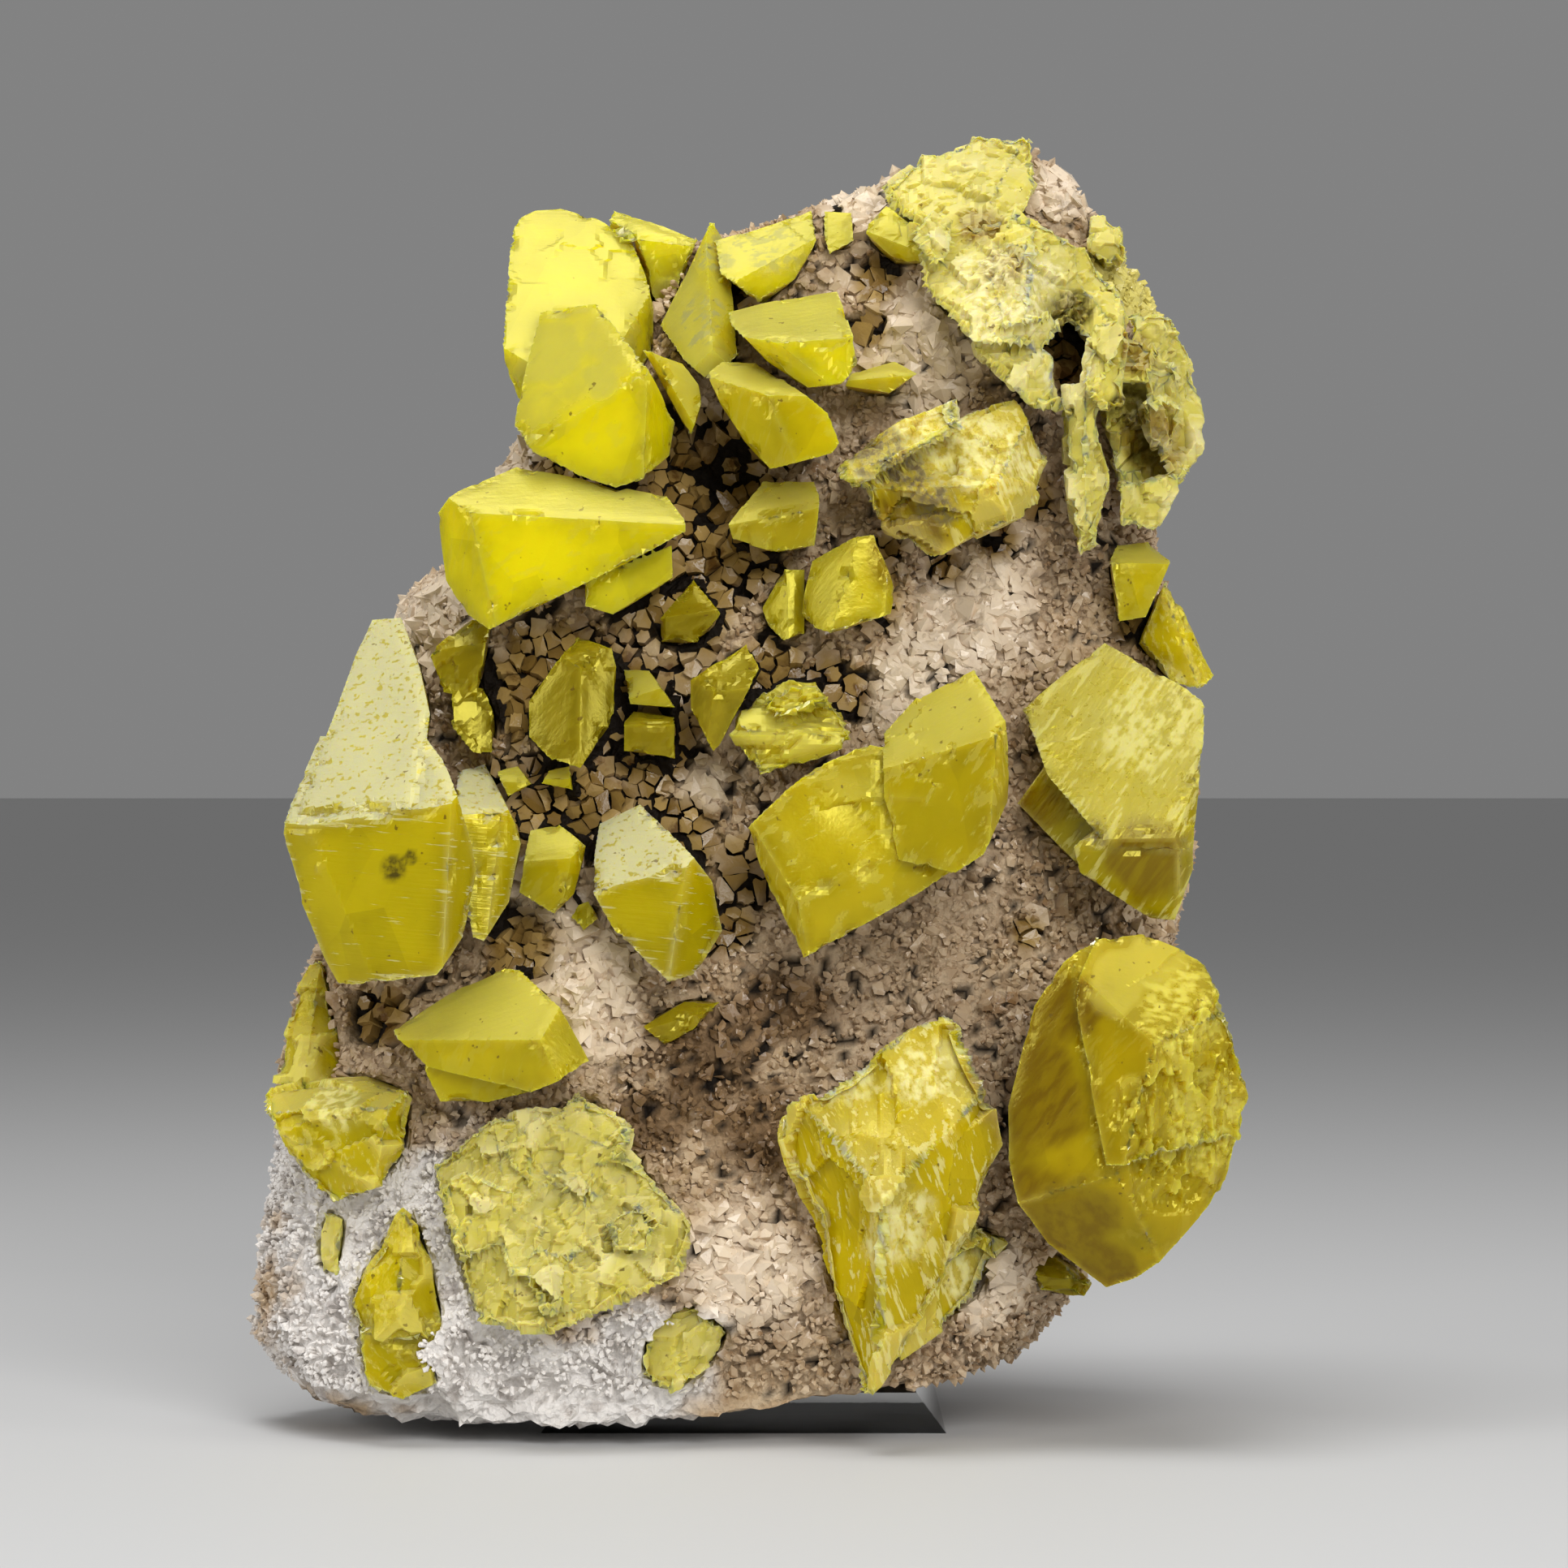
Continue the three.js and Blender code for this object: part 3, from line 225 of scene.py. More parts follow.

# The same for the sulfur: amber depths, pale broken skin that is partly a painted highlight, dark hollows of
# painted shade, scaly skin, smooth pale skin and grey smoky spots.
SULFUR_PATCHES = {
    "amber": [(30, 42, 8), (33, 53, 6), (34, 27, 7), (40, 20, 4), (44, 133, 3), (45, 123, 5),
              (12.5, 142, 3), (14, 111, 6), (27, 144, 2.5), (24, 150, 3), (45, 71, 5), (31, 78, 4)],
    "pale": [(8, 45, 4), (17, 44, 5), (14, 25, 5), (24, 20, 4), (50, 53, 6), (53, 38, 6), (45, 89, 8),
             (20, 122, 7), (28, 141, 7), (-55, 41, 4), (35, 132, 4), (-44, 40, 3), (28, 119, 5),
             (12, 121, 4), (19, 118, 3), (-10, 138, 4), (-8, 145, 3), (-2, 147, 5)],
    "dark": [(42.4, 126, 3), (36, 138.5, 2.5), (44, 121, 2), (-48, 69.5, 1.5), (-46, 70.8, 0.9)],
    "scales": [(54, 51, 4), (52, 45, 6), (51, 38, 7), (48, 32, 6), (44, 40, 4)],
    "veil": [(41, 56, 4), (46, 58, 4), (13, 50, 3), (20, 47, 2), (-28, 133, 5), (-22, 135, 5),
             (-23, 130, 3), (-12, 139, 5), (-9, 132, 4)],
    "smoky": [(11.5, 121, 3), (15, 118, 3.5), (19, 114.5, 3), (38, 74, 2)],
}

# Patches fade out between these two depths behind the block's front edge.
PATCH_FADE_START = 24 * MM
PATCH_FADE_END = 34 * MM


def on_plane(points):
    """x and z in mm where the eye sees each point on the upright plane."""
    spread = (points[:, 1] - FRONT_Y + EYE_DISTANCE) / EYE_DISTANCE
    x = (points[:, 0] - FRONT_X) / spread
    z = EYE_HEIGHT + (points[:, 2] - EYE_HEIGHT) / spread
    return x / MM, z / MM


def patch(spots, points):
    """How far each point belongs to a patch of spots on the front, from 0 to 1, with a ragged border."""
    x, z = on_plane(points)
    ragged = 0.35 * noise(points, 6 * MM, 31) + 0.2 * noise(points, 2 * MM, 32)
    best = np.zeros(len(points))
    for middle_x, middle_z, reach in spots:
        away = np.hypot(x - middle_x, z - middle_z) / reach
        best = np.maximum(best, smooth(1.15 - away + ragged, 0, 0.5))
    depth = points[:, 1] + 7 * MM * noise(points, 12 * MM, 33) + 2 * MM * noise(points, 2.5 * MM, 34)
    front = 1 - smooth(depth, FRONT_Y + PATCH_FADE_START, FRONT_Y + PATCH_FADE_END)
    return best * front


# Materials

class Shader:
    """Short ways to add shader nodes to one material."""

    def __init__(self, name):
        self.material = bpy.data.materials.new(name)
        self.material.use_nodes = True
        self.tree = self.material.node_tree
        self.principled = self.tree.nodes["Principled BSDF"]
        self.output = self.tree.nodes["Material Output"]
        self.place = self.tree.nodes.new("ShaderNodeTexCoord").outputs["Object"]

    def put(self, value, socket):
        """Links a node's output to a socket, or gives the socket a plain value."""
        if isinstance(value, bpy.types.NodeSocket):
            self.tree.links.new(value, socket)
        elif isinstance(value, tuple) and len(value) == 3 and socket.type == "RGBA":
            socket.default_value = (*value, 1)
        else:
            socket.default_value = value

    def set(self, **values):
        """Fills sockets of the Principled shader, with _ for the spaces in their names."""
        for key, value in values.items():
            self.put(value, self.principled.inputs[key.replace("_", " ")])

    def math(self, operation, a, b, clamp=False):
        node = self.tree.nodes.new("ShaderNodeMath")
        node.operation = operation
        node.use_clamp = clamp
        self.put(a, node.inputs[0])
        self.put(b, node.inputs[1])
        return node.outputs[0]

    def times(self, a, b):
        return self.math("MULTIPLY", a, b)

    def plus(self, a, b):
        return self.math("ADD", a, b)

    def less(self, a, b):
        """a less b, and never under 0."""
        return self.math("SUBTRACT", a, b, clamp=True)

    def most(self, first, *others):
        """The largest of some values."""
        for other in others:
            first = self.math("MAXIMUM", first, other)
        return first

    def mix(self, share, a, b):
        """Colour a where the share is 0, and colour b where it is 1."""
        node = self.tree.nodes.new("ShaderNodeMix")
        node.data_type = "RGBA"
        self.put(share, node.inputs["Factor"])
        self.put(a, node.inputs["A"])
        self.put(b, node.inputs["B"])
        return next(s for s in node.outputs if s.type == "RGBA")

    def between(self, value, low, high, start=0.0, end=1.0):
        """Goes smoothly from start to end while the value goes from low to high."""
        node = self.tree.nodes.new("ShaderNodeMapRange")
        node.interpolation_type = "SMOOTHSTEP"
        self.put(value, node.inputs["Value"])
        self.put(low, node.inputs["From Min"])
        self.put(high, node.inputs["From Max"])
        self.put(start, node.inputs["To Min"])
        self.put(end, node.inputs["To Max"])
        return node.outputs["Result"]

    def stretched(self, turn, stretch):
        """Place drawn out along turned axes: a small number gives long streaks along that axis."""
        node = self.tree.nodes.new("ShaderNodeMapping")
        node.vector_type = "TEXTURE"
        self.put(self.place, node.inputs["Vector"])
        node.inputs["Rotation"].default_value = tuple(math.radians(angle) for angle in turn)
        node.inputs["Scale"].default_value = tuple(1 / share for share in stretch)
        return node.outputs["Vector"]

    def noise(self, span, detail=3.0, rough=0.55, place=None):
        """Cloudy noise with lumps about `span` wide."""
        node = self.tree.nodes.new("ShaderNodeTexNoise")
        self.put(place or self.place, node.inputs["Vector"])
        node.inputs["Scale"].default_value = 1 / span
        node.inputs["Detail"].default_value = detail
        node.inputs["Roughness"].default_value = rough
        return node.outputs[0]

    def cells(self, span):
        """How far each place is from the middle of its cell, with cells about `span` wide."""
        node = self.tree.nodes.new("ShaderNodeTexVoronoi")
        self.put(self.place, node.inputs["Vector"])
        node.inputs["Scale"].default_value = 1 / span
        return node.outputs["Distance"]

    def facets(self, span, place):
        """A number for each broken cell, for the planes seen inside a crystal."""
        node = self.tree.nodes.new("ShaderNodeTexVoronoi")
        self.put(place, node.inputs["Vector"])
        node.inputs["Scale"].default_value = 1 / span
        split = self.tree.nodes.new("ShaderNodeSeparateColor")
        self.put(node.outputs["Color"], split.inputs[0])
        return split.outputs[0]

    def stored(self, name):
        """The number of this name that the mesh holds at each vertex."""
        node = self.tree.nodes.new("ShaderNodeAttribute")
        node.attribute_name = name
        return node.outputs["Fac"]

    def upward(self):
        """1 where the surface looks straight up, and 0 where it is upright."""
        normal = self.tree.nodes.new("ShaderNodeNewGeometry").outputs["Normal"]
        split = self.tree.nodes.new("ShaderNodeSeparateXYZ")
        self.put(normal, split.inputs[0])
        return split.outputs["Z"]

    def bump(self, height, depth):
        """The surface's normal with fine relief, `depth` high."""
        node = self.tree.nodes.new("ShaderNodeBump")
        node.inputs["Strength"].default_value = 1.0
        node.inputs["Distance"].default_value = depth
        self.put(height, node.inputs["Height"])
        return node.outputs["Normal"]

    def absorb(self, colour, density):
        """Tints the light that goes through the material."""
        node = self.tree.nodes.new("ShaderNodeVolumeAbsorption")
        self.put(colour, node.inputs["Color"])
        self.put(density, node.inputs["Density"])
        self.tree.links.new(node.outputs["Volume"], self.output.inputs["Volume"])


# Colours of the sulfur, as linear red, green and blue.

RUST = (0.1, 0.04, 0.008)
AMBER = (0.19, 0.1, 0.0005)
# Painted shade for the dark hollows.
SULFUR_HOLLOW_SHADE = (0.07, 0.045, 0.005)
SMOKY = (0.2, 0.15, 0.08)
DEEP = (0.56, 0.45, 0.0005)
PALE = (0.46, 0.42, 0.08)

SULFUR_IOR = 1.9
SULFUR_TINT = (1.0, 0.9, 0.15)
SULFUR_GLOW = (1.0, 0.75, 0.08)
SULFUR_DENSITY = 70.0
FROST_ROUGHNESS = 0.42

# What a sulfur material may change.
SULFUR_LOOK = {
    "clear": 0.22,             # share of the light that goes straight through
    "frost": 0.75,             # painted top light: how pale a face that looks up is
    "hatch": 0.2,              # how pale the scratches are
    "sparse": 0.0,             # how few scratches there are
    "pocks": 0.0,              # how clear the pocks in the painted top light are
    "pitted": 0.7,             # how rusty the pits of the breaks are
    "stained": 0.8,            # how rusty the foot is
    "gloss": 0.24,             # roughness of the clear faces
    "shine": 0.4,              # strength of the highlights
    "glow": 6,                 # how far light spreads inside, in mm
    "rough": 0.05,             # height of the fine relief, in mm
    "dusk": 0.6,               # painted shade: how dark the band beside the edges is
    "crested": 0.7,            # how pale the crests of the breaks are
    "turn": (20, 15, 10),      # turn of the streaks about x, y and z, in degrees
    "stretch": (1, 3.2, 0.5),  # how fine the streaks are along their own axes
}


def scaled(colour, share):
    """A lighter or darker colour."""
    return tuple(min(1, share * c) for c in colour)


def pale_share(shader, look, cloud, streak, ragged):
    """How pale the sulfur is, from 0 to 1: painted top light where it looks up, scratches, a painted
    highlight along the edges, crests, and broken skin that is partly a painted highlight.
    """
    # Painted top light: faces that look up are made pale, as the light from above makes them look.
    up = shader.between(shader.plus(shader.upward(), shader.times(cloud, 0.35)), 0.35, 0.8)
    pocked = shader.between(shader.noise(0.8 * MM, 3), 0.58, 0.62, 1.0, 1.0 - look["pocks"])
    frosted = shader.times(shader.times(up, look["frost"]), pocked)
    dashes = shader.plus(streak, shader.times(shader.stored("border"), 0.09))
    dashes = shader.between(dashes, 0.57 + look["sparse"], 0.66 + look["sparse"])
    scratched = shader.times(dashes, shader.less(look["hatch"], shader.stored("amber")))
    # Painted highlight along the edges, stronger where the cloud is light.
    edge_highlight = shader.times(shader.stored("rim"), shader.between(cloud, 0.35, 0.65, 0.05, 0.4))
    crest = shader.times(shader.stored("crest"), look["crested"])
    # Pale broken skin, partly a painted highlight where the light catches the sulfur.
    pale_skin_and_highlight = shader.times(shader.stored("pale"), ragged)
    smooth_skin = shader.times(shader.stored("veil"), 0.55)
    return shader.most(frosted, scratched, edge_highlight, crest, pale_skin_and_highlight, smooth_skin)


def body_colour(shader, look, deep, cloud, streak):
    """Colour of the clear sulfur: inner planes, a band of painted shade beside the edges and amber depths.
    """
    body = shader.mix(shader.between(cloud, 0.35, 0.7), deep, scaled(deep, 0.75))
    inner = shader.facets(7 * MM, shader.stretched(look["turn"], (1, 0.3, 0.6)))
    body = shader.mix(shader.times(inner, 0.55), body, scaled(deep, 1.3))
    # Painted shade: a darker band beside the edges, around a brighter middle.
    dusk = shader.between(cloud, 0.3, 0.7, look["dusk"] / 4, look["dusk"])
    body = shader.mix(shader.times(shader.stored("border"), dusk), body, scaled(deep, 0.55))
    depths = shader.between(streak, 0.35, 0.6, 1.0, 0.7)
    return shader.mix(shader.times(shader.stored("amber"), depths), body, AMBER)


def stained_and_shaded_colour(shader, look, colour, ragged):
    """The sulfur's colour with its rusty foot, pits and flecks, its dark hollows of painted shade and its
    smoky spots.
    """
    foot = shader.times(shader.stored("foot"), shader.between(shader.noise(1.6 * MM, 4), 0.42, 0.6))
    pits = shader.times(shader.stored("pit"), look["pitted"])
    colour = shader.mix(shader.most(shader.times(foot, look["stained"]), pits), colour, RUST)
    uneven = shader.between(shader.noise(1.2 * MM, 4), 0.35, 0.6, 0.4)
    # Painted shade: the dark hollows are made near black brown.
    colour = shader.mix(shader.times(shader.stored("dark"), uneven), colour, SULFUR_HOLLOW_SHADE)
    colour = shader.mix(shader.times(shader.stored("smoky"), ragged), colour, SMOKY)
    flecks = shader.between(shader.noise(1.3 * MM, 2), 0.7, 0.74, 0.0, 0.7)
    return shader.mix(flecks, colour, RUST)


def sulfur_material(name, deep, pale, **changes):
    """Sulfur: deep clear faces, pale ones where they look up with painted top light, pale edges with a
    painted highlight, and a stained foot.
    """
    look = {**SULFUR_LOOK, **changes}
    shader = Shader(name)
    cloud = shader.noise(9 * MM, 4)
    streak = shader.noise(2.2 * MM, 4, place=shader.stretched(look["turn"], look["stretch"]))
    ragged = shader.between(shader.plus(streak, shader.noise(1.2 * MM, 4)), 0.85, 1.15, 0.25, 1.0)
    white = pale_share(shader, look, cloud, streak, ragged)
    colour = shader.mix(white, body_colour(shader, look, deep, cloud, streak), pale)
    relief = shader.plus(shader.times(shader.noise(0.5 * MM, 3), 0.3), streak)
    shader.set(
        Base_Color=stained_and_shaded_colour(shader, look, colour, ragged),
        Roughness=shader.between(white, 0, 1, look["gloss"], FROST_ROUGHNESS),
        IOR=SULFUR_IOR,
        Transmission_Weight=shader.times(shader.less(1.0, white), look["clear"]),
        Subsurface_Weight=0.9,
        Subsurface_Radius=SULFUR_GLOW,
        Subsurface_Scale=look["glow"] * MM,
        Specular_IOR_Level=look["shine"],
        Specular_Tint=SULFUR_TINT,
        Normal=shader.bump(relief, look["rough"] * MM),
    )
    shader.absorb(scaled(deep, 1.5), SULFUR_DENSITY)
    return shader.material


# Colours of the aragonite. A pair is a darker and a lighter tone.

TAN = ((0.24, 0.13, 0.055), (0.44, 0.29, 0.15))
# Lighter grains at random: grain tone and a painted highlight on the glassy grains.
GRAIN_TONE_AND_HIGHLIGHT = (0.74, 0.6, 0.42)
GLASSY = (0.46, 0.33, 0.21)
WHITE = (0.8, 0.68, 0.53)
SUGAR = (0.78, 0.64, 0.45)
CHALK = (0.83, 0.8, 0.77)
BARE_BACK = ((0.4, 0.29, 0.19), (0.68, 0.6, 0.5))
# Painted shade in the hollow, where the crystals above keep the light off: dark brown druse.
HOLLOW_SHADE = ((0.1, 0.055, 0.022), (0.32, 0.2, 0.1))
RUSTY = ((0.18, 0.1, 0.018), (0.4, 0.26, 0.08))
LEMON = (0.66, 0.58, 0.14)
# Near black for the gaps in the crust: painted shade with some stain.
GAP_SHADE_AND_STAIN = (0.012, 0.008, 0.005)


def rock_colour(shader, gap_shade_share):
    """Colour of the aragonite: tan, with its patches laid over it, lighter grains partly as a painted
    highlight, painted shade in the hollow, rusty stains and dark gaps of painted shade and stain.
    """
    grain = shader.stored("grain")
    tan = shader.mix(shader.between(shader.noise(7 * MM, 5), 0.3, 0.7), *TAN)
    veins = shader.between(shader.noise(11 * MM, 6, 0.65), 0.42, 0.6)
    stain = shader.between(shader.noise(3.5 * MM, 5), 0.57, 0.66)
    layers = (
        (shader.times(grain, 0.5), GRAIN_TONE_AND_HIGHLIGHT),
        (shader.times(shader.stored("glassy"), 0.7), GLASSY),
        (shader.times(shader.stored("white"), 0.65), WHITE),
        (shader.times(shader.facets(0.8 * MM, shader.place), 0.35), SUGAR),
        (shader.times(shader.stored("chalk"), 0.9), CHALK),
        (shader.stored("back"), shader.mix(veins, *BARE_BACK)),
        # Painted shade in the hollow.
        (shader.times(shader.stored("hollow_shade"), 0.95), shader.mix(grain, *HOLLOW_SHADE)),
        (shader.times(shader.stored("rust"), 0.95), shader.mix(grain, *RUSTY)),
        (shader.times(shader.stored("lemon"), 0.9), LEMON),
        (shader.times(stain, shader.between(shader.stored("rust"), 0, 1, 0.35, 0.8)), RUST),
        # Painted shade with some stain in the gaps.
        (shader.times(shader.stored("gap"), gap_shade_share), GAP_SHADE_AND_STAIN),
    )
    colour = tan
    for share, over in layers:
        colour = shader.mix(share, colour, over)
    return colour


def rock_material():
    """The crust between the teeth, near black where it is hollow: painted shade with some stain."""
    shader = Shader("aragonite_crust")
    relief = shader.plus(shader.noise(0.8 * MM, 4), shader.cells(0.9 * MM))
    shader.set(
        Base_Color=rock_colour(shader, 1.0),
        Roughness=0.7,
        Specular_IOR_Level=0.15,
        Normal=shader.bump(relief, 0.5 * MM),
    )
    return shader.material


def druse_material():
    """The aragonite teeth: glassy where they aren't chalky."""
    shader = Shader("aragonite_druse")
    chalky = shader.stored("chalk")
    shader.set(
        Base_Color=rock_colour(shader, 0.0),
        Roughness=shader.between(chalky, 0, 1, 0.12, 0.7),
        IOR=1.6,
        Specular_IOR_Level=0.25,
        Normal=shader.bump(shader.noise(0.3 * MM, 3), 0.05 * MM),
    )
    return shader.material


def acrylic_material():
    """Clear acrylic with fine wiping marks."""
    shader = Shader("clear_acrylic")
    marks = shader.noise(3 * MM, 5, place=shader.stretched((0, 0, 25), (1, 9, 1)))
    shader.set(
        Base_Color=(0.97, 0.985, 0.99),
        Roughness=shader.between(marks, 0.45, 0.75, 0.02, 0.09),
        IOR=1.49,
        Transmission_Weight=1.0,
        Normal=shader.bump(marks, 0.01 * MM),
    )
    return shader.material


def floor_material():
    """Plain pale studio floor."""
    shader = Shader("pale_floor")
    shader.set(Base_Color=(0.6, 0.6, 0.6), Roughness=0.6)
    return shader.material


# Each sulfur material: its name, its clear colour, its pale colour and what differs from SULFUR_LOOK.
MATERIALS = {
    "clear": sulfur_material("sulfur_clear", DEEP, PALE),
    "bright": sulfur_material(
        "sulfur_bright", (0.72, 0.62, 0.001), (0.34, 0.32, 0.1),
        clear=0.18, hatch=0.12, frost=0.6),
    "white_top": sulfur_material(
        "sulfur_white_top", (0.5, 0.4, 0.0005), (0.5, 0.48, 0.28),
        frost=0.95, hatch=0.7, sparse=0.08, pocks=0.7, turn=(0, 5, 0), stretch=(0.2, 1, 5)),
    "etched": sulfur_material(
        "sulfur_etched", (0.48, 0.37, 0.0005), (0.5, 0.46, 0.1),
        hatch=0.35, frost=0.6),
    "broken": sulfur_material(
        "sulfur_broken", (0.56, 0.44, 0.0005), (0.74, 0.68, 0.25),
        shine=0.2, glow=2.5, hatch=0.3, frost=0.35, pitted=0.4, stained=0.3, rough=0.12,
        dusk=0.12, crested=0.5, turn=(10, 40, 30), stretch=(0.5, 2.5, 1.6)),
    "fibrous": sulfur_material(
        "sulfur_fibrous", (0.56, 0.42, 0.0005), (0.74, 0.68, 0.3),
        clear=0.2, shine=0.2, glow=2.5, hatch=0.7, frost=0.25, pitted=0.4, stained=0.5, rough=0.15,
        dusk=0.12, crested=0.3, turn=(10, -25, 0), stretch=(2.6, 2.6, 0.3)),
    "granular": sulfur_material(
        "sulfur_granular", (0.56, 0.49, 0.1), (0.72, 0.66, 0.36),
        clear=0.04, gloss=0.34, shine=0.15, glow=1.2, frost=0.35, pitted=0.1, stained=0.1, rough=0.08,
        dusk=0.08),
    "amber": sulfur_material(
        "sulfur_amber", (0.27, 0.2, 0.0005), (0.42, 0.36, 0.02),
        frost=0.3, hatch=0.15),
    "giant": sulfur_material(
        "sulfur_giant", (0.43, 0.31, 0.0005), (0.62, 0.54, 0.09),
        frost=0.2, hatch=0.12, pitted=0.3, crested=0.6),
    "striated": sulfur_material(
        "sulfur_striated", (0.42, 0.33, 0.001), (0.56, 0.51, 0.18),
        frost=0.55, hatch=0.8, pocks=0.4, rough=0.12, turn=(0, 35, 0), stretch=(2.6, 1, 0.35)),
}


# The sulfur crystals

# How each crystal looks. Its look is its material, and its cell is the size in mm of the small faces that
# it is cut into. A break is the span and height of its shards in mm, how much of the surface it takes or
# the patch that it lies in, and how fine it is along x, y and z. Chips are how deep the edges are worn, in
# mm, and the dish is how much the shards are hollowed.

EVEN = (1, 1, 1)
PLAIN = {"look": "clear", "cell": 0.56, "breaks": [(6, 0.3, 0.25, EVEN)], "chips": 0.5, "dish": 0.0}
SMALL_BREAKS = [(4, 0.35, 0.5, EVEN)]
GRAINS = [(4.2, 1.2, 1.0, (1, 1, 0.8)), (1.7, 0.55, 0.75, (1, 1, 0.8))]
AMBER_CRYSTALS = ("sulfur_dim_diamond", "sulfur_olive_crystal", "sulfur_dim_cube", "sulfur_olive_blade",
                  "sulfur_amber_cluster", "sulfur_centre_olive")
LOOKS = {
    **dict.fromkeys(AMBER_CRYSTALS, {"look": "amber", "breaks": SMALL_BREAKS}),
    "sulfur_tall_pair": {"look": "bright", "breaks": [(9, 0.2, 0.25, EVEN), (6, 0.6, 0.35, (1, 1, 1.4))]},
    "sulfur_wedge": {"look": "bright", "breaks": SMALL_BREAKS, "chips": 0.2},
    "sulfur_top_pair": {"look": "bright", "breaks": SMALL_BREAKS, "chips": 0.1},
    "sulfur_top_mass": {"look": "granular", "cell": 0.5, "breaks": GRAINS, "chips": 0.3},
    "sulfur_top_knob": {"look": "granular", "breaks": [(3, 0.9, 1.0, EVEN)]},
    "sulfur_broken_crystal": {"look": "fibrous", "cell": 0.42, "dish": 1.0, "chips": 0.6,
                              "breaks": [(7, 1.5, 0.8, (0.7, 1, 1.3)), (2.5, 0.5, 0.5, (0.6, 1, 1.5))]},
    "sulfur_long_crystal": {"look": "bright"},
    "sulfur_upper_block": {"look": "bright"},
    "sulfur_dark_foot": {"look": "amber", "breaks": [(3, 0.5, 0.8, EVEN)]},
    "sulfur_ledged_crystal": {"look": "etched",
                              "breaks": [(4, 0.9, 0.9, (0.5, 1, 1.8)), (1.6, 0.4, 0.6, (0.5, 1, 1.8))]},
    "sulfur_etched_block": {"look": "etched", "breaks": SMALL_BREAKS},
    "sulfur_doublet": {"look": "etched", "breaks": [(7, 0.4, 0.35, (1, 1, 1.6))]},
    "sulfur_big_left": {"look": "white_top", "breaks": [(7, 0.35, 0.3, (0.5, 1, 2))]},
    "sulfur_white_top": {"look": "white_top"},
    "sulfur_left_block": {"look": "broken", "cell": 0.5, "dish": 1.0,
                          "breaks": [(6, 1.2, 0.8, (0.8, 1, 1.2))]},
    "sulfur_pale_slab": {"look": "granular", "breaks": [(2.5, 0.5, 1.0, EVEN)]},
    "sulfur_corner_crystal": {"look": "broken", "dish": 1.0, "breaks": [(5, 0.8, 0.8, EVEN)]},
    "sulfur_granular_mass": {"look": "granular", "cell": 0.38, "breaks": GRAINS, "chips": 0.3},
    "sulfur_bottom_grain": {"look": "granular", "breaks": [(2.6, 0.9, 1.0, EVEN)]},
    "sulfur_pyramid": {"look": "fibrous", "cell": 0.42, "dish": 1.3, "chips": 0.4,
                       "breaks": [(11, 2.0, 0.85, (1.3, 1, 0.8)), (3.5, 0.5, 0.45, (1.5, 1, 0.6))]},
    "sulfur_giant": {"look": "giant", "cell": 0.42, "dish": 0.8,
                     "breaks": [(14, 0.5, 0.3, EVEN), (3.4, 1.0, "scales", (1.5, 1, 0.7)),
                                (1.5, 0.4, "scales", (1.5, 1, 0.7))]},
    "sulfur_striated": {"look": "striated"},
    "sulfur_edge_shard": {"look": "broken", "breaks": [(4, 0.6, 0.8, EVEN)]},
}

# How far the marks of an edge reach from it, and the stain of the foot from the rock.
EDGE_WEAR = 0.9 * MM
RIM_WIDTH = 0.45 * MM
BORDER_WIDTH = 2.2 * MM
FOOT_HEIGHT = 1.3 * MM

# The least wear of an edge in mm, the height of a face's swells, and how far a face may stand out.
LEAST_CHIP = 0.12
SWELLS = 0.12 * MM
OUTWARD_LIMIT = 0.3 * MM

# How much wider a broken area is than its shards, how soft its border is, and how much of the height that
# is asked for the shards get.
AREA_SPAN = 2.2
AREA_SOFTNESS = 0.15
SHARD_HEIGHT = 0.8

# The share of its grid that the remesh fills.
GRID_FILL = 0.9


def sharp_edges(made, spacing=0.5 * MM, least=math.radians(14)):
    """A search tree of points along the sharp outer edges of a bmesh."""
    points = []
    for edge in made.edges:
        if len(edge.link_faces) != 2 or edge.calc_face_angle(0) < least:
            continue
        a, b = (v.co for v in edge.verts)
        steps = max(2, int((b - a).length / spacing) + 1)
        points += [a.lerp(b, i / (steps - 1)) for i in range(steps)]
    tree = KDTree(len(points))
    for i, place in enumerate(points):
        tree.insert(place, i)
    tree.balance()
    return tree


def broken(points, look, seed):
    """Inward depth, crests and pits of the broken and scaly parts of a surface."""
    depth = np.zeros(len(points))
    crest = np.zeros(len(points))
    pit = np.zeros(len(points))
    for number, (span, height, share, fineness) in enumerate(look["breaks"]):
        if share in SULFUR_PATCHES:
            area = patch(SULFUR_PATCHES[share], points)
        else:
            ragged = noise(points, AREA_SPAN * span * MM, seed + 5 + number)
            start = 1 - 2 * share
            area = smooth(ragged, start - AREA_SOFTNESS, start + AREA_SOFTNESS)
        shaped = points * np.array(fineness)
        flat, border = shards(shaped, span * MM, seed + 11 * number, look["dish"])
        depth += area * (0.5 - flat) * height * MM * SHARD_HEIGHT
        strength = area * min(1, height)
        crest = np.maximum(crest, strength * smooth(flat, 0.25, 0.8))
        pit = np.maximum(pit, strength * smooth(-flat, 0.5, 0.95) * smooth(-border, -0.12, -0.02))
    return depth, crest, pit


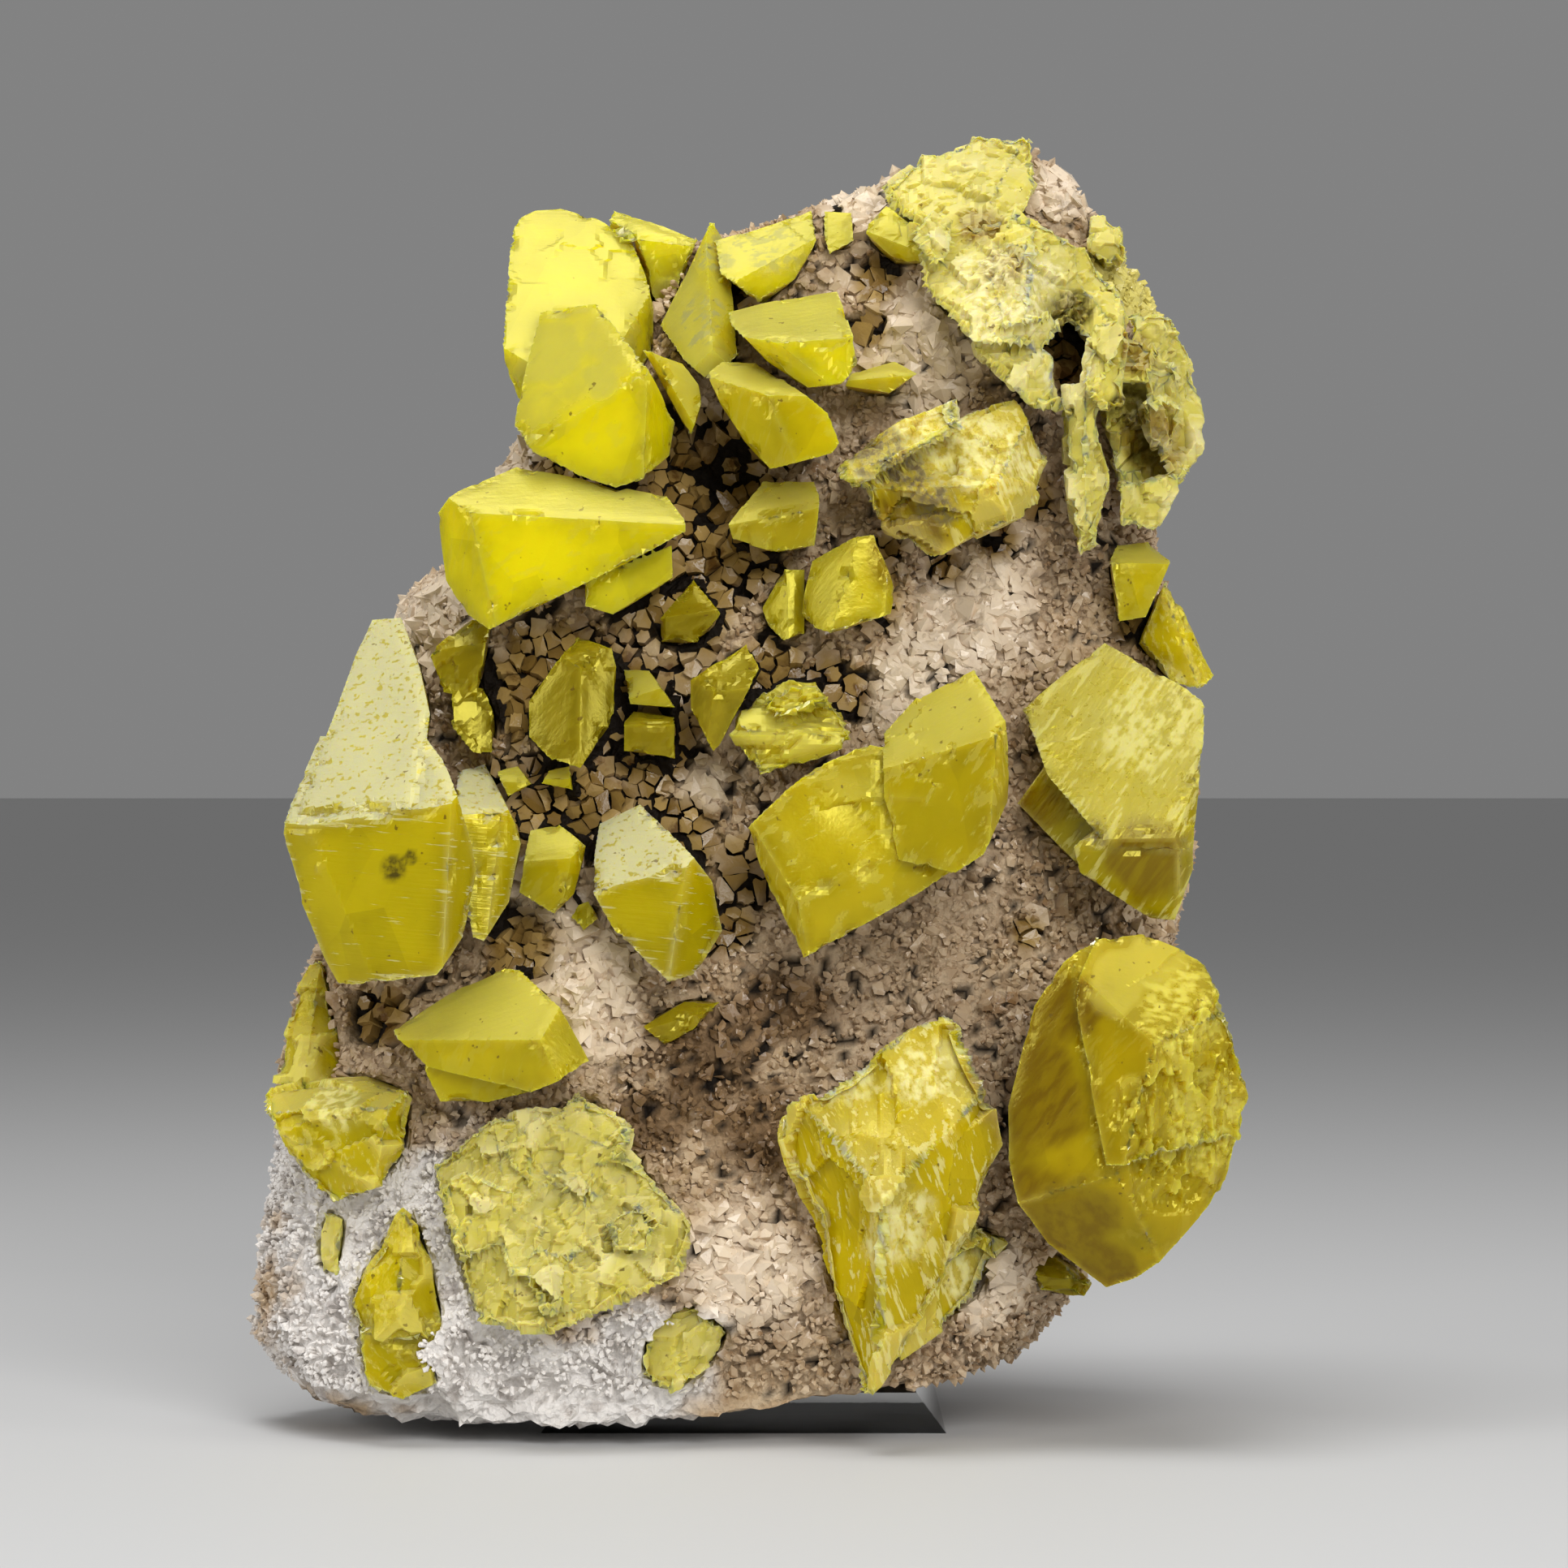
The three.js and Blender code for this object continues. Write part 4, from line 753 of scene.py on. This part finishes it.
def build_crystal(name, number, rock_tree):
    """One sulfur node with its faces broken, pitted and worn."""
    look = {**PLAIN, **LOOKS.get(name, {})}
    low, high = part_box(name)
    cells = max(high[k] - low[k] for k in range(3)) / (look["cell"] * MM)
    levels = math.ceil(math.log2(cells / GRID_FILL))
    vertices, faces = remeshed(name, "SHARP", octree_depth=levels, scale=cells / 2 ** levels,
                               sharpness=1.0, use_remove_disconnected=False)
    solid = row_mesh(name)
    edges = sharp_edges(solid)
    solid.free()
    normals = normals_of(vertices, faces)
    depth, crest, pit = broken(vertices, look, 100 + 7 * number)
    rim = np.array([edges.find(p)[2] for p in vertices])
    foot = distances(rock_tree, vertices)
    near_edge = np.exp(-((rim / EDGE_WEAR) ** 2))
    chipped = noise(vertices, 2.4 * MM, number) + 0.5 * noise(vertices, 1.1 * MM, number)
    chipped = smooth(chipped, 0.1, 0.8)
    depth += near_edge * (LEAST_CHIP + look["chips"] * chipped) * MM
    depth += SWELLS * noise(vertices, 5 * MM, number)
    moved = vertices - normals * np.maximum(depth, -OUTWARD_LIMIT)[:, None]
    made = piece(name + "_grown", moved, faces, MATERIALS[look["look"]], [name])
    give(made, "rim", np.exp(-((rim / RIM_WIDTH) ** 2)))
    give(made, "border", np.exp(-((rim / BORDER_WIDTH) ** 2)))
    give(made, "foot", np.exp(-foot / FOOT_HEIGHT))
    give(made, "crest", crest)
    give(made, "pit", pit)
    for kind, spots in SULFUR_PATCHES.items():
        give(made, kind, patch(spots, vertices))


# The rock

ROCK_VOXEL = 1.15 * MM

# The broken back begins between these two depths behind the block's front edge.
BACK_START = 48 * MM
BACK_END = 56 * MM
LEDGE_DEPTH = 2.2 * MM

# How deep the crust lies below the solid, in mm: everywhere, in its swells, in its broken flats, in its
# finer ones, in the rusty hollows and in the wrinkles of the chalk.
CRUST_DEPTH = 0.35
CRUST_SWELLS = 0.4
CRUST_FLATS = 0.4
CRUST_FINE_FLATS = 0.25
HOLLOW_DEPTH = 1.2
CHALK_WRINKLES = 2.2

# How far the crust stands out beside the sulfur, in mm, and between which distances from it that ends.
SULFUR_LIP = 0.25
SULFUR_CLEAR = 0.4 * MM
SULFUR_NEAR = 1.8 * MM


def rock_facts(made, points, grain):
    """Stores the broken back, the patches and the grain at each vertex."""
    give(made, "back", at_back(points))
    for kind, spots in PATCHES.items():
        give(made, kind, patch(spots, points))
    give(made, "grain", grain)


def at_back(points):
    """How far each point belongs to the broken back of the rock, from 0 to 1."""
    depth = points[:, 1] + 6 * MM * noise(points, 14 * MM, 61)
    return smooth(depth, FRONT_Y + BACK_START, FRONT_Y + BACK_END)


def back_ledges(points):
    """How deep each point lies below the solid where the back is broken into ledges."""
    slabs, _ = shards(points * np.array((1, 1, 1.6)), 12 * MM, 51)
    return LEDGE_DEPTH * at_back(points) * (0.8 - slabs)


def rusty_share(points):
    """How far each point belongs to the rusty hollows, from 0 to 1."""
    return smooth(patch(PATCHES["rust"], points) + 0.3 * noise(points, 4 * MM, 3), 0.3, 0.55)


def away_from(sulfur_tree, points):
    """0 where a point touches the sulfur, and 1 where it is well away from it."""
    return smooth(distances(sulfur_tree, points), SULFUR_CLEAR, SULFUR_NEAR)


def black_specks(points):
    """Where the druse leaves a small gap, which the crust paints dark as shade and stain, from 0 to 1."""
    sparse = 0.35 * patch(PATCHES["rust"], points) - 0.3 * at_back(points)
    fine = noise(points, 1.3 * MM, 21) + 0.45 * noise(points, 0.6 * MM, 23)
    return smooth(fine + 0.3 * noise(points, 9 * MM, 22) + sparse, 0.43, 0.53)


def build_rock(sulfur_tree):
    """The rock's crust: the solid's form, sunk where it is hollow between its teeth."""
    vertices, faces = remeshed("matrix", "VOXEL", voxel_size=ROCK_VOXEL)
    normals = normals_of(vertices, faces)
    flat, _ = shards(vertices, 3.2 * MM, 7)
    fine, _ = shards(vertices, 1.5 * MM, 17)
    chalk = patch(PATCHES["chalk"], vertices)
    hollow = rusty_share(vertices)
    specks = black_specks(vertices) * (1 - chalk)
    wrinkles = np.abs(noise(vertices, 3 * MM, 41)) + 0.5 * np.abs(noise(vertices, 1.3 * MM, 42))
    depth = CRUST_DEPTH + CRUST_SWELLS * noise(vertices, 7 * MM, 2)
    depth += CRUST_FLATS * (0.5 - flat) + CRUST_FINE_FLATS * (0.5 - fine)
    depth += HOLLOW_DEPTH * hollow + CHALK_WRINKLES * chalk * (wrinkles - 0.25)
    open_rock = away_from(sulfur_tree, vertices)
    depth = depth * open_rock - SULFUR_LIP * (1 - open_rock)
    moved = vertices - normals * (depth * MM + back_ledges(vertices))[:, None]
    made = piece("matrix_crust", moved, faces, rock_material(), ["matrix"])
    rock_facts(made, vertices, 0.5 + 0.5 * noise(vertices, 1.5 * MM, 4))
    # Where the crust shows between the teeth it is painted near black: painted shade with some stain.
    give(made, "gap", np.maximum(hollow, specks))


# The druse of little crystals

PLATE_CORNERS = 5
PLATE_VERTICES = PLATE_CORNERS + 2
PLATE_FACES = 2 * PLATE_CORNERS


def plates(places, normals, width, height, lean, random):
    """Joined little crystals: each a plate or a tooth with a ragged rim, a low tip and a buried point."""
    count = len(places)
    way = normals + lean[:, None] * random.normal(size=(count, 3))
    way /= np.linalg.norm(way, axis=1)[:, None]
    side = np.cross(way, random.normal(size=(count, 3)))
    side /= np.linalg.norm(side, axis=1)[:, None]
    other = np.cross(way, side)
    flat = random.uniform(0.5, 1.0, count)
    shoulder = height * random.uniform(0.6, 0.85, count)
    tip = height * (1 - 0.2 * smooth(width / height, 1, 2))
    vertices = np.zeros((count, PLATE_VERTICES, 3))
    for k in range(PLATE_CORNERS):
        angle = 2 * math.pi * (k + random.uniform(-0.3, 0.3, count)) / PLATE_CORNERS
        reach = width * random.uniform(0.65, 1.15, count)
        out = side * (np.cos(angle) * reach)[:, None] + other * (np.sin(angle) * reach * flat)[:, None]
        rise = shoulder * random.uniform(0.8, 1.1, count)
        vertices[:, k] = places + out + way * rise[:, None]
    shift = side * (width * random.uniform(-0.4, 0.4, count))[:, None]
    vertices[:, PLATE_CORNERS] = places + way * tip[:, None] + shift
    vertices[:, PLATE_CORNERS + 1] = places - way * height[:, None]
    faces = []
    for k in range(PLATE_CORNERS):
        after = (k + 1) % PLATE_CORNERS
        faces.append((k, after, PLATE_CORNERS))
        faces.append((after, k, PLATE_CORNERS + 1))
    all_faces = [tuple(i * PLATE_VERTICES + v for v in face) for i in range(count) for face in faces]
    return vertices.reshape(-1, 3), all_faces


def spaced(places, spacing):
    """The numbers of points that lie at least `spacing` apart, first come first kept."""
    taken = {}
    chosen = []
    for number, place in enumerate(places):
        cell = tuple(int(v) for v in np.floor(place / spacing))
        near = (taken.get((cell[0] + i, cell[1] + j, cell[2] + k), ())
                for i, j, k in itertools.product((-1, 0, 1), repeat=3))
        if any(np.sum((places[other] - place) ** 2) < spacing ** 2 for group in near for other in group):
            continue
        taken.setdefault(cell, []).append(number)
        chosen.append(number)
    return np.array(chosen)


def clipped(corners, way, limit):
    """The part of a flat outline that reaches no further than `limit` along a way."""
    kept = []
    for here, after in zip(corners, corners[1:] + corners[:1]):
        inside, next_inside = here @ way <= limit, after @ way <= limit
        if inside:
            kept.append(here)
        if inside != next_inside:
            share = (limit - here @ way) / ((after - here) @ way)
            kept.append(here + share * (after - here))
    return kept


RUSTY_SPACING = 1.35 * MM
RUSTY_DEPTH = 0.55 * MM
RUSTY_THICKNESS = 1.6 * MM
RUSTY_TILT = 0.3
RUSTY_PEAK = 0.12 * MM


def rusty_outline(number, places, tree, side, other, random):
    """The outline of one rusty plate along two axes: a hexagon that is cut off towards its neighbours."""
    turn = random.uniform(0, math.pi)
    reach = RUSTY_SPACING * random.uniform(0.7, 1.6)
    angles = [turn + k * math.pi / 3 for k in range(6)]
    outline = [np.array((math.cos(angle), math.sin(angle))) * reach for angle in angles]
    for _, index, _ in tree.find_range(places[number], 2.1 * RUSTY_SPACING):
        step = places[index] - places[number]
        away = np.array((step @ side, step @ other))
        length = np.linalg.norm(away)
        if index != number and length > 0.3 * RUSTY_SPACING:
            outline = clipped(outline, away / length, length * random.uniform(0.4, 0.54))
    return outline


def mosaic(places, normals, random):
    """Flat plates with narrow gaps that fill a surface: vertices, faces and the plate of each vertex."""
    tree = KDTree(len(places))
    for number, place in enumerate(places):
        tree.insert(place, number)
    tree.balance()
    vertices, faces, owners = [], [], []
    for number, (place, normal) in enumerate(zip(places, normals)):
        side = np.cross(normal, (0.3, 0.1, 1.0))
        side /= np.linalg.norm(side)
        other = np.cross(normal, side)
        outline = rusty_outline(number, places, tree, side, other, random)
        if len(outline) < 3:
            continue
        tilt = random.normal(size=2) * RUSTY_TILT
        rise = random.uniform(-0.5, 0.45) * MM
        middle = sum(outline) / len(outline)
        outline = [point for here, after in zip(outline, outline[1:] + outline[:1])
                   for point in (here, (here + after) / 2 * random.uniform(0.8, 1.08))]
        start, count = len(vertices), len(outline)
        flat = [place + side * x + other * y for x, y in [*outline, middle]]
        heights = [rise + tilt @ corner for corner in outline]
        heights.append(rise + tilt @ middle + RUSTY_PEAK)
        vertices += [point - normal * RUSTY_THICKNESS for point in flat[:count]]
        vertices += [point + normal * height for point, height in zip(flat, heights)]
        for k in range(count):
            after = (k + 1) % count
            faces.append((start + k, start + after, start + count + after, start + count + k))
            faces.append((start + count + k, start + count + after, start + 2 * count))
        owners += [number] * (2 * count + 1)
    return np.array(vertices), faces, np.array(owners)


def surface_points(made, count, random):
    """Points spread evenly over a bmesh, with its normals."""
    triangles = made.calc_loop_triangles()
    corners = np.array([[loop.vert.co[:] for loop in triangle] for triangle in triangles])
    across = np.cross(corners[:, 1] - corners[:, 0], corners[:, 2] - corners[:, 0])
    area = np.linalg.norm(across, axis=1)
    chosen = random.choice(len(corners), count, p=area / area.sum())
    a, b = random.uniform(size=(2, count))
    over = a + b > 1
    a, b = np.where(over, 1 - a, a), np.where(over, 1 - b, b)
    first, second, third = (corners[chosen, k] for k in range(3))
    points = first + a[:, None] * (second - first) + b[:, None] * (third - first)
    return points, across[chosen] / area[chosen][:, None]


def build_rusty_plates(places, normals, random):
    """The mosaic of thin rusty plates over the dark hollows."""
    chosen = spaced(places, RUSTY_SPACING)
    places, normals = places[chosen], normals[chosen]
    missing = noise(places, 3.5 * MM, 9) + 0.6 * random.uniform(-1, 1, len(places)) > 0.6
    places, normals = places[~missing], normals[~missing]
    vertices, faces, owners = mosaic(places - normals * RUSTY_DEPTH, normals, random)
    made = piece("aragonite_rusty_plates", vertices, faces, druse_material())
    rock_facts(made, vertices, random.uniform(size=len(places))[owners])


LITTLE_CRYSTALS = 66000

# Plates are broad and low, teeth are thin, and spears are thin and long.
PLATE_WIDTH = 1.05 * MM
PLATE_HEIGHT = 0.9 * MM
TOOTH_WIDTH = 0.6 * MM
TOOTH_HEIGHT = 1.35 * MM
TOOTH_LEAN = 0.4
SPEAR_HEIGHT = 2.2 * MM
SPEAR_LEAN = 0.28

# The little crystals begin this far above the block, and each band of heights is one joined piece.
LOWEST_CRYSTAL = 1.5 * MM
BANDS = (0, 35 * MM, 65 * MM, 100 * MM, 200 * MM)


def build_band(number, inside, vertices, faces, grain, material):
    """One joined piece of the druse: the little crystals inside a band of heights."""
    chosen = np.repeat(inside, PLATE_VERTICES)
    renumber = np.cumsum(chosen) - 1
    part = [faces[i * PLATE_FACES + k] for i in np.flatnonzero(inside) for k in range(PLATE_FACES)]
    part = [tuple(int(renumber[v]) for v in face) for face in part]
    made = piece(f"aragonite_druse_{number}", vertices[chosen], part, material)
    rock_facts(made, vertices[chosen], grain[chosen])


def build_little_crystals(places, normals, sulfur_tree, random):
    """The fine plates, teeth and spears of aragonite, larger where the druse is white."""
    white, chalk = (patch(PATCHES[kind], places) for kind in ("white", "chalk"))
    places = places - normals * back_ledges(places)[:, None]
    count = len(places)
    broad = random.uniform(size=count) < 0.25 + 0.6 * white - 0.25 * chalk
    size = random.lognormal(0, 0.3, count) * (0.82 + 0.5 * white - 0.2 * chalk)
    spear = ~broad & (random.uniform(size=count) < 0.22 * (1 - chalk))
    width = np.where(broad, PLATE_WIDTH, TOOTH_WIDTH) * size
    height = np.where(broad, PLATE_HEIGHT, np.where(spear, SPEAR_HEIGHT, TOOTH_HEIGHT)) * size
    lean = np.where(broad, 0.25 + 0.25 * white, np.where(spear, SPEAR_LEAN, TOOTH_LEAN))
    beside_sulfur = 1 - away_from(sulfur_tree, places)
    sunk = np.where(spear, 0.55, 0.7) * height + (0.1 - 0.5 * beside_sulfur) * MM
    roots = places - normals * sunk[:, None]
    vertices, faces = plates(roots, normals, width, height, lean, random)
    grain = np.repeat(random.uniform(size=count), PLATE_VERTICES)
    material = druse_material()
    for number, (low, high) in enumerate(zip(BANDS, BANDS[1:]), 1):
        inside = (places[:, 2] >= low) & (places[:, 2] < high)
        build_band(number, inside, vertices, faces, grain, material)


def build_druse(solid, sulfur_tree):
    """The druse on all that shows of the rock: rusty plates in its hollows, and little crystals around."""
    random = np.random.default_rng(12)
    places, normals = surface_points(solid, LITTLE_CRYSTALS, random)
    free = distances(sulfur_tree, places) > SULFUR_CLEAR
    free &= places[:, 2] > stand_high[2] + LOWEST_CRYSTAL
    places, normals = places[free], normals[free]
    rusty = rusty_share(places) > 0.5
    build_rusty_plates(places[rusty], normals[rusty], random)
    thinned = at_back(places) * (0.85 + 0.3 * noise(places, 9 * MM, 62))
    bare = thinned > random.uniform(size=len(places))
    gaps = black_specks(places) * (1 - patch(PATCHES["chalk"], places))
    kept = ~rusty & ~bare & (gaps < 0.4)
    build_little_crystals(places[kept], normals[kept], sulfur_tree, random)


# The whole part

rock_solid = row_mesh("matrix")
rock_solid.normal_update()
rock_tree = tree_of([rock_solid])
sulfur_solids = [row_mesh(name) for name in SULFUR]
sulfur_tree = tree_of(sulfur_solids)
for solid in sulfur_solids:
    solid.free()

for number, name in enumerate(SULFUR):
    build_crystal(name, number, rock_tree)
build_rock(sulfur_tree)
build_druse(rock_solid, sulfur_tree)
rock_solid.free()

# The clear block keeps its own mesh, with its edges eased.
EASED_EDGE = 0.3 * MM
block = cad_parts["stand"]
block.data.materials.clear()
block.data.materials.append(acrylic_material())
eased = block.modifiers.new("eased", "BEVEL")
eased.width = EASED_EDGE
eased.segments = 2

# Floor, light and camera

FLOOR_SIZE = 60
WORLD_GREY = (0.7, 0.7, 0.7, 1)
WORLD_STRENGTH = 0.32

# Each soft light: where it is, the point that it looks at, its width and its power.
LIGHTS = {
    "overhead": ((-0.1, -0.15, 0.85), (0, 0.02, 0.08), 0.45, 4.2),
    "front_fill": ((0.25, -0.85, 0.5), (0, 0, 0.08), 0.4, 5.3),
    "left_fill": ((-0.8, -0.5, 0.4), (0, 0, 0.08), 0.4, 2.4),
    "right_fill": ((0.8, -0.45, 0.2), (0, 0, 0.06), 0.3, 1.6),
}


def area_light(name, place, aim, width, power):
    """A soft square light at a place, turned to look at a point."""
    data = bpy.data.lights.new(name, "AREA")
    data.size = width
    data.energy = power
    made = bpy.data.objects.new(name, data)
    made.location = place
    way = np.array(aim, float) - np.array(place, float)
    made.rotation_euler = Vector(way.tolist()).to_track_quat("-Z", "Y").to_euler()
    bpy.context.scene.collection.objects.link(made)


bpy.ops.mesh.primitive_plane_add(size=FLOOR_SIZE, location=(0, 0, 0))
floor = bpy.context.object
floor.name = "floor"
floor.data.materials.append(floor_material())

for name, (place, aim, width, power) in LIGHTS.items():
    area_light(name, place, aim, width, power)

world = bpy.data.worlds.new("studio")
world.use_nodes = True
world.node_tree.nodes["Background"].inputs["Color"].default_value = WORLD_GREY
world.node_tree.nodes["Background"].inputs["Strength"].default_value = WORLD_STRENGTH
bpy.context.scene.world = world
bpy.context.scene.view_settings.view_transform = "Standard"

camera_data = bpy.data.cameras.new("camera")
camera_data.sensor_width = SENSOR
camera_data.lens = SENSOR * EYE_DISTANCE / PICTURE_WIDTH
camera = bpy.data.objects.new("camera", camera_data)
camera.location = (FRONT_X, FRONT_Y - EYE_DISTANCE, EYE_HEIGHT)
camera.rotation_euler = (math.pi / 2, 0, 0)
bpy.context.scene.collection.objects.link(camera)
bpy.context.scene.camera = camera
